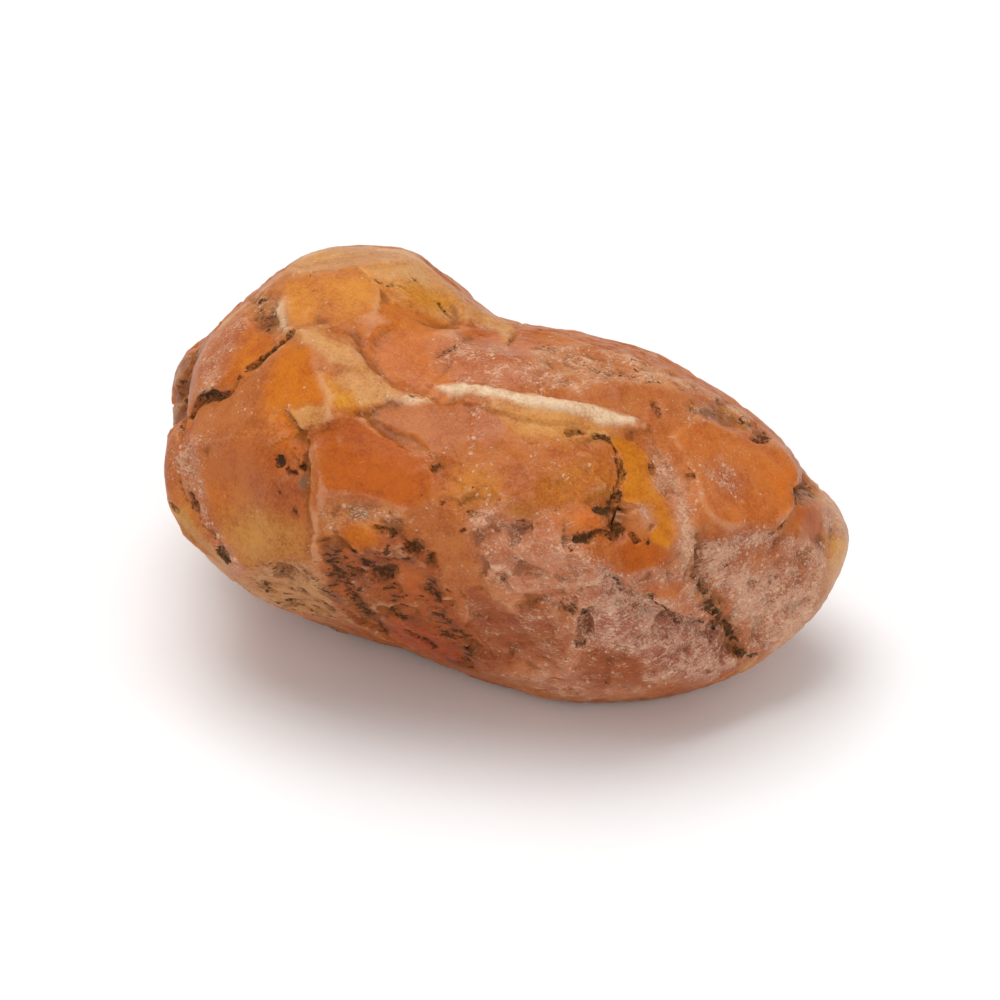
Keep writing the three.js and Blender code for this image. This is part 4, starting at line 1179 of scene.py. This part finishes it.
def breakage_tree():
    tree, start, end = new_tree(
        "Small breakage",
        "GeometryNodeTree",
        {"Stone": "Geometry", "Spacing": "Float", "Lean": "Float", "Sink": "Float",
         "Hollow": "Float", "Grit size": "Float", "Grit height": "Float", "Seed": "Int",
         "Finish": "Material"},
        {"Stone": "Geometry"},
    )
    skin = start["Stone"]
    place = position(tree)
    tear_size, tear_reach = 1.0 * MM, 0.8 * MM
    floor_height, clear_height = 0.1 * MM, 0.8 * MM
    crowding = 2.0e6
    reach_share = 0.9
    chipped_from = (0.25, 0.7)
    smooth_grit = 0.15
    chips = add(
        tree, "GeometryNodeDistributePointsOnFaces", skin, distribute_method="POISSON",
        Distance_Min=start["Spacing"], Density_Max=crowding, Seed=start["Seed"],
    )
    tilt = add(
        tree, "FunctionNodeRandomValue", data_type="FLOAT_VECTOR",
        Min=(-1.0, -1.0, -1.0), Max=(1.0, 1.0, 1.0), Seed=start["Seed"],
    )
    leaning = scaled(tree, tilt, start["Lean"])
    look = vector_calc(tree, "ADD", chips.outputs["Normal"], leaning)
    look = vector_calc(tree, "NORMALIZE", look)
    chips = store_on(tree, chips.outputs["Points"], "look", look, "FLOAT_VECTOR")
    torn = ragged(tree, place, tear_size, tear_reach)
    nearest = add(tree, "GeometryNodeSampleNearest", chips, torn, domain="POINT")
    seat = held_by(tree, chips, place, nearest, "FLOAT_VECTOR")
    look = held_by(tree, chips, held(tree, "look", "FLOAT_VECTOR"), nearest, "FLOAT_VECTOR")
    reach = calc(tree, "MULTIPLY", start["Spacing"], reach_share)
    rough = held(tree, "rough")
    chipped = dish_cut(tree, place, seat, look, reach, start["Sink"], start["Hollow"])
    chipped = scaled(tree, chipped, ramp(tree, rough, *chipped_from))
    skin = add(tree, "GeometryNodeSetPosition", skin, Offset=chipped)
    grit = calc(tree, "SUBTRACT", cloud(tree, place, start["Grit size"], 4.0, 0.65), 0.5)
    coarse = calc(tree, "ADD", rough, smooth_grit)
    coarse = calc(tree, "MULTIPLY", start["Grit height"], coarse)
    grit = calc(tree, "MULTIPLY", grit, coarse)
    height = add(tree, "ShaderNodeSeparateXYZ", place).outputs["Z"]
    off_floor = ramp(tree, height, floor_height, clear_height)
    skin = sunk_by(tree, skin, calc(tree, "MULTIPLY", grit, off_floor))
    close(tree, skin, start["Finish"], end)
    return tree


breakage = breakage_tree()
work(
    stone, "chips", breakage, spacing=2.6 * MM, lean=0.22, sink=0.02 * MM, hollow=0.12 * MM,
    grit_size=1.2 * MM, grit_height=0.35 * MM, seed=3, finish=carnelian,
)
work(
    stone, "small_chips", breakage, spacing=1.3 * MM, lean=0.3, sink=0.01 * MM, hollow=0.05 * MM,
    grit_size=0.6 * MM, grit_height=0.15 * MM, seed=5, finish=carnelian,
)
stone_mesh = settle(stone)


# ---------------------------------------------------------------------------------------------
# The rubbing and painted light. Edges that stand proud are rubbed pale by the gravel and also
# carry a painted highlight; hollows are painted darker as painted shade.

def proudness(mesh, rounds):
    """How far each point stands out, in millimetres, from the skin averaged around it."""
    count = len(mesh.vertices)
    spots = read_points(mesh, "co") / MM
    ends = np.empty(len(mesh.edges) * 2, dtype=np.int64)
    mesh.edges.foreach_get("vertices", ends)
    ends = ends.reshape(-1, 2)
    here, there = np.vstack([ends, ends[:, ::-1]]).T
    neighbours = np.bincount(here, minlength=count)
    average = spots
    for _ in range(rounds):
        sums = [np.bincount(here, average[there, axis], count) for axis in range(3)]
        average = np.stack(sums, axis=1) / neighbours[:, None]
    return ((spots - average) * read_points(mesh, "normal")).sum(axis=1)


proudness_rounds = 14
store(stone_mesh, "proud", proudness(stone_mesh, proudness_rounds))


# ---------------------------------------------------------------------------------------------
# The carnelian itself. Waxy, slightly translucent quartz: mottled and grainy inside, bruised
# with chalky flakes and fine scratches outside, peppered with dark iron specks, and dirty in
# its cracks.

def tinted_by(tree, tint, shade):
    """A colour made darker or paler by a shade."""
    return add(
        tree, "ShaderNodeMix", 1.0, tint, (*shade, 1), data_type="RGBA", blend_type="MULTIPLY",
    )


def mottling_group():
    tree, start, end = new_tree(
        "Mottled chalcedony",
        "ShaderNodeTree",
        {"Place": "Vector", "Tint": "Color", "Strength": "Float", "Grain size": "Float"},
        {"Colour": "Color"},
    )
    place, tint = start["Place"], start["Tint"]
    twist_size, twist_reach = 3 * MM, 2.5 * MM
    cloud_size, mottle_size = 4 * MM, 0.9 * MM
    darker, paler = (0.80, 0.64, 0.46), (1.12, 1.22, 1.30)
    twisted = ragged(tree, place, twist_size, twist_reach)
    broad = cloud(tree, twisted, cloud_size, detail=4.0, roughness=0.6)
    fine = cloud(tree, place, mottle_size, detail=5.0, roughness=0.7)
    grain = cloud(tree, place, start["Grain size"], detail=2.0, roughness=0.6)
    swing = ramp(tree, broad, 0.38, 0.62, -0.45, 0.45)
    swing = calc(tree, "ADD", swing, ramp(tree, fine, 0.3, 0.7, -0.4, 0.4))
    swing = calc(tree, "ADD", swing, ramp(tree, grain, 0.3, 0.7, -0.5, 0.5))
    swing = calc(tree, "MULTIPLY", swing, start["Strength"])
    down = calc(tree, "MULTIPLY", swing, -1.0, clamp=True)
    up = calc(tree, "MAXIMUM", swing, 0.0)
    dark = tinted_by(tree, tint, darker)
    light = tinted_by(tree, tint, paler)
    shaded = add(tree, "ShaderNodeMix", down, tint, dark, data_type="RGBA")
    feed(tree, end["Colour"], add(tree, "ShaderNodeMix", up, shaded, light, data_type="RGBA"))
    return tree


def scuff_group():
    tree, start, end = new_tree(
        "Bruises and scratches",
        "ShaderNodeTree",
        {"Place": "Vector", "Amount": "Float", "Fleck size": "Float", "Scratch size": "Float"},
        {"Flecks": "Float", "Scratches": "Float", "Veil": "Float"},
    )
    place, amount = start["Place"], start["Amount"]
    twist_size, twist_reach, cluster_size = 1.2 * MM, 1.0 * MM, 2.0 * MM
    tear_size, tear_reach = 0.5 * MM, 0.4 * MM
    bend_size, bend_reach = 3 * MM, 0.5 * MM
    scratch_ways = [(0.6, 0.7, 0.35), (0.65, 0.05, -0.75), (1, 0.1, 0)]
    scratch_thinness = (1.0, 12.0, 12.0)
    bare = 0.2
    twisted = ragged(tree, place, twist_size, twist_reach)
    clusters = cloud(tree, twisted, cluster_size, detail=5.0, roughness=0.7)
    bunched = ramp(tree, clusters, 0.35, 0.65, -0.25, 0.25)
    here = calc(tree, "SUBTRACT", calc(tree, "ADD", amount, bunched), bare)
    torn = ragged(tree, place, tear_size, tear_reach)
    fineness = calc(tree, "DIVIDE", 1.0, start["Fleck size"])
    cells = add(tree, "ShaderNodeTexVoronoi", Vector=torn, Scale=fineness)
    lots = add(tree, "ShaderNodeSeparateXYZ", cells.outputs["Color"]).outputs
    lot = calc(tree, "ADD", lots["X"], calc(tree, "MULTIPLY", here, 0.6))
    chosen = ramp(tree, lot, 1.06, 1.16)
    edge = calc(tree, "SUBTRACT", cells.outputs["Distance"], calc(tree, "MULTIPLY", lots["Y"], 0.5))
    flecks = calc(tree, "MULTIPLY", chosen, ramp(tree, edge, 0.0, 0.2, 1.0, 0.0))
    scratches = 0.0
    for way in scratch_ways:
        turn = Vector(way).rotation_difference(Vector((1, 0, 0))).to_euler()
        turned = add(
            tree, "ShaderNodeVectorRotate", Vector=place, Rotation=turn, rotation_type="EULER_XYZ",
        )
        bent = ragged(tree, turned, bend_size, bend_reach)
        drawn = vector_calc(tree, "MULTIPLY", bent, scratch_thinness)
        streaks = cloud(tree, drawn, start["Scratch size"], detail=2.0, roughness=0.6)
        streaks = calc(tree, "ADD", streaks, calc(tree, "MULTIPLY", here, 0.28))
        scratches = calc(tree, "MAXIMUM", scratches, ramp(tree, streaks, 0.72, 0.81))
    feed(tree, end["Flecks"], flecks)
    feed(tree, end["Scratches"], scratches)
    feed(tree, end["Veil"], calc(tree, "MULTIPLY", ramp(tree, here, 0.45, 1.0), amount))
    return tree


def speck_group():
    tree, start, end = new_tree(
        "Iron specks",
        "ShaderNodeTree",
        {"Place": "Vector", "Amount": "Float", "Speck size": "Float"},
        {"Specks": "Float", "Stain": "Float"},
    )
    place, amount = start["Place"], start["Amount"]
    tear_size, tear_reach = 1.0 * MM, 0.8 * MM
    cluster_size, blot_size = 3.0 * MM, 1.6 * MM
    drawn_level = (0.6, 0.6, 1.3)
    torn = ragged(tree, place, tear_size, tear_reach)
    level = vector_calc(tree, "MULTIPLY", torn, drawn_level)
    clusters = cloud(tree, place, cluster_size)
    here = calc(tree, "MULTIPLY", ramp(tree, clusters, 0.35, 0.65, 0.55, 1.15), amount)
    shift = calc(tree, "MULTIPLY", here, 0.2)
    grains = cloud(tree, level, start["Speck size"], detail=3.0, roughness=0.65)
    grains = calc(tree, "ADD", grains, shift)
    stained = cloud(tree, place, blot_size, detail=4.0, roughness=0.65)
    stained = calc(tree, "ADD", stained, shift)
    blots = calc(tree, "MULTIPLY", ramp(tree, stained, 0.6, 0.75), ramp(tree, amount, 0.05, 0.4))
    feed(tree, end["Specks"], ramp(tree, grains, 0.73, 0.78))
    feed(tree, end["Stain"], blots)
    return tree


carnelian.use_nodes = True
nodes = carnelian.node_tree
nodes.nodes.clear()
object_place = add(nodes, "ShaderNodeTexCoord").outputs["Object"]


def painted(name):
    return add(nodes, "ShaderNodeAttribute", attribute_name=name).outputs["Fac"]


def placed(group, **sizes):
    """A shader group in the carnelian, reading places on the stone."""
    made = add(nodes, "ShaderNodeGroup", node_tree=group)
    feed(nodes, made.inputs["Place"], object_place)
    for name, value in sizes.items():
        feed(nodes, made.inputs[name.replace("_", " ")], value)
    return made.outputs


tinted = add(nodes, "ShaderNodeAttribute", attribute_name="tint").outputs["Color"]
mottled = placed(mottling_group(), Tint=tinted, Strength=1.1, Grain_size=0.22 * MM)
scuffs = placed(scuff_group(), Amount=painted("scuff"), Fleck_size=0.32 * MM, Scratch_size=1.8 * MM)
specks = placed(speck_group(), Amount=painted("speck"), Speck_size=0.7 * MM)

crumb_size = 0.35 * MM
crumbs = cloud(nodes, object_place, crumb_size, detail=4.0, roughness=0.7)
crumbs = calc(nodes, "SUBTRACT", crumbs, 0.5)
dirt = painted("dirt")
dirty = ramp(nodes, calc(nodes, "ADD", dirt, calc(nodes, "MULTIPLY", crumbs, 0.9)), 0.5, 0.75)
grimy = ramp(nodes, calc(nodes, "ADD", dirt, calc(nodes, "MULTIPLY", crumbs, 1.4)), 0.35, 0.9)
proud = calc(nodes, "ADD", painted("proud"), calc(nodes, "MULTIPLY", crumbs, 0.25))
# Proud edges: pale wear from the gravel, with a painted highlight on top of it.
edge_wear_and_highlight = ramp(nodes, proud, 0.05, 0.25)
# Painted shade: the hollows are painted darker, as if they lay in shade.
painted_hollow_shade = ramp(nodes, proud, -0.04, -0.18)

coats = [
    (scuffs["Veil"], 0.3, (210, 151, 116)),
    # painted shade in the hollows
    (painted_hollow_shade, 0.5, (124, 74, 40)),
    # pale wear and painted highlight on the proud edges
    (edge_wear_and_highlight, 0.3, (224, 182, 144)),
    (specks["Stain"], 0.6, (112, 68, 38)),
    (scuffs["Flecks"], 0.5, (238, 202, 174)),
    (scuffs["Scratches"], 0.42, (238, 202, 174)),
    (specks["Specks"], 0.85, (76, 56, 36)),
    (grimy, 0.55, (114, 72, 42)),
    (dirty, 0.88, (66, 54, 38)),
]
colour = mottled["Colour"]
for cover, strength, seen in coats:
    share = calc(nodes, "MULTIPLY", cover, strength)
    colour = add(nodes, "ShaderNodeMix", share, colour, (*stain(*seen), 1), data_type="RGBA")

dull = calc(nodes, "MAXIMUM", scuffs["Flecks"], scuffs["Scratches"])
dull = calc(nodes, "MULTIPLY", calc(nodes, "MAXIMUM", scuffs["Veil"], dull), 0.6)
dull = calc(nodes, "MAXIMUM", dull, calc(nodes, "MAXIMUM", dirty, specks["Specks"]))
roughness = ramp(nodes, dull, 0.0, 1.0, 0.42, 0.8)

pimple_size, pimple_height = 0.28 * MM, 0.16 * MM
coarse = ramp(nodes, painted("rough"), 0.0, 1.0, 0.2, 1.0)
pimples = cloud(nodes, object_place, pimple_size, detail=3.0, roughness=0.6)
height = calc(nodes, "MULTIPLY", pimples, coarse)
for cover, rise in (
    (scuffs["Flecks"], 0.2), (scuffs["Scratches"], -0.25), (specks["Specks"], -0.5), (dirty, -0.8),
):
    height = calc(nodes, "ADD", height, calc(nodes, "MULTIPLY", cover, rise))
bump = add(nodes, "ShaderNodeBump", Strength=0.85, Distance=pimple_height, Height=height)

surface = add(
    nodes, "ShaderNodeBsdfPrincipled", Base_Color=colour, Roughness=roughness, Normal=bump,
)
surface.inputs["IOR"].default_value = 1.54
surface.inputs["Specular IOR Level"].default_value = 0.22
surface.inputs["Subsurface Weight"].default_value = 0.25
surface.inputs["Subsurface Radius"].default_value = (1.0, 0.4, 0.15)
surface.inputs["Subsurface Scale"].default_value = 1.0 * MM
add(nodes, "ShaderNodeOutputMaterial", Surface=surface)

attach(stone, "root")
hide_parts("carnelian_stone")


# ---------------------------------------------------------------------------------------------
# The table the stone lies on: a broad sheet of plain, almost white card.

card_half = 1.2
card_white = (0.95, 0.95, 0.95, 1)
card_roughness = 0.9
card_corners = [
    (x * card_half, y * card_half, 0) for x, y in ((-1, -1), (1, -1), (1, 1), (-1, 1))
]
card_mesh = bpy.data.meshes.new("card")
card_mesh.from_pydata(card_corners, [], [(0, 1, 2, 3)])
card = bpy.data.objects.new("card", card_mesh)
bpy.context.scene.collection.objects.link(card)
card_paper = bpy.data.materials.new("card")
card_paper.use_nodes = True
card_face = card_paper.node_tree.nodes["Principled BSDF"]
card_face.inputs["Base Color"].default_value = card_white
card_face.inputs["Roughness"].default_value = card_roughness
card_mesh.materials.append(card_paper)


# ---------------------------------------------------------------------------------------------
# The light: an even white room, a broad soft lamp above and to the left, and a weaker one
# in front, so that the stone is clear all round and its wax catches a wide soft glint.

room_white = (1, 1, 1, 1)
room_strength = 0.5
room = bpy.data.worlds.new("room")
room.use_nodes = True
walls = room.node_tree.nodes["Background"]
walls.inputs["Color"].default_value = room_white
walls.inputs["Strength"].default_value = room_strength
bpy.context.scene.world = room


def lamp(name, place, aim, size, power):
    """A square soft lamp at a place, turned toward a point."""
    data = bpy.data.lights.new(name, "AREA")
    data.shape = "SQUARE"
    data.size = size
    data.energy = power
    shade = bpy.data.objects.new(name, data)
    shade.location = place
    shade.rotation_euler = (Vector(aim) - Vector(place)).to_track_quat("-Z", "Y").to_euler()
    bpy.context.scene.collection.objects.link(shade)


middle = Vector((0, 0, 15)) * MM
lamp("key", place=(-0.12, 0.02, 0.8), aim=middle, size=0.6, power=4.5)
lamp("front", place=(0.45, -0.6, 0.45), aim=middle, size=0.5, power=1.2)


# ---------------------------------------------------------------------------------------------
# The camera: a long lens, a little above the stone and off its front.

azimuth = math.radians(33)
elevation = math.radians(35)
distance = 0.42
aim_point = Vector((1.86, 1.15, 14.2)) * MM
lens = 174.6

away = Vector((
    math.sin(azimuth) * math.cos(elevation),
    -math.cos(azimuth) * math.cos(elevation),
    math.sin(elevation),
))
camera_data = bpy.data.cameras.new("camera")
camera_data.lens = lens
camera_data.sensor_width = 36
camera_data.clip_start = 0.01
camera_data.clip_end = 10
camera = bpy.data.objects.new("camera", camera_data)
camera.location = aim_point + away * distance
camera.rotation_euler = (-away).to_track_quat("-Z", "Y").to_euler()
bpy.context.scene.collection.objects.link(camera)
bpy.context.scene.camera = camera
bpy.context.scene.view_settings.view_transform = "Standard"
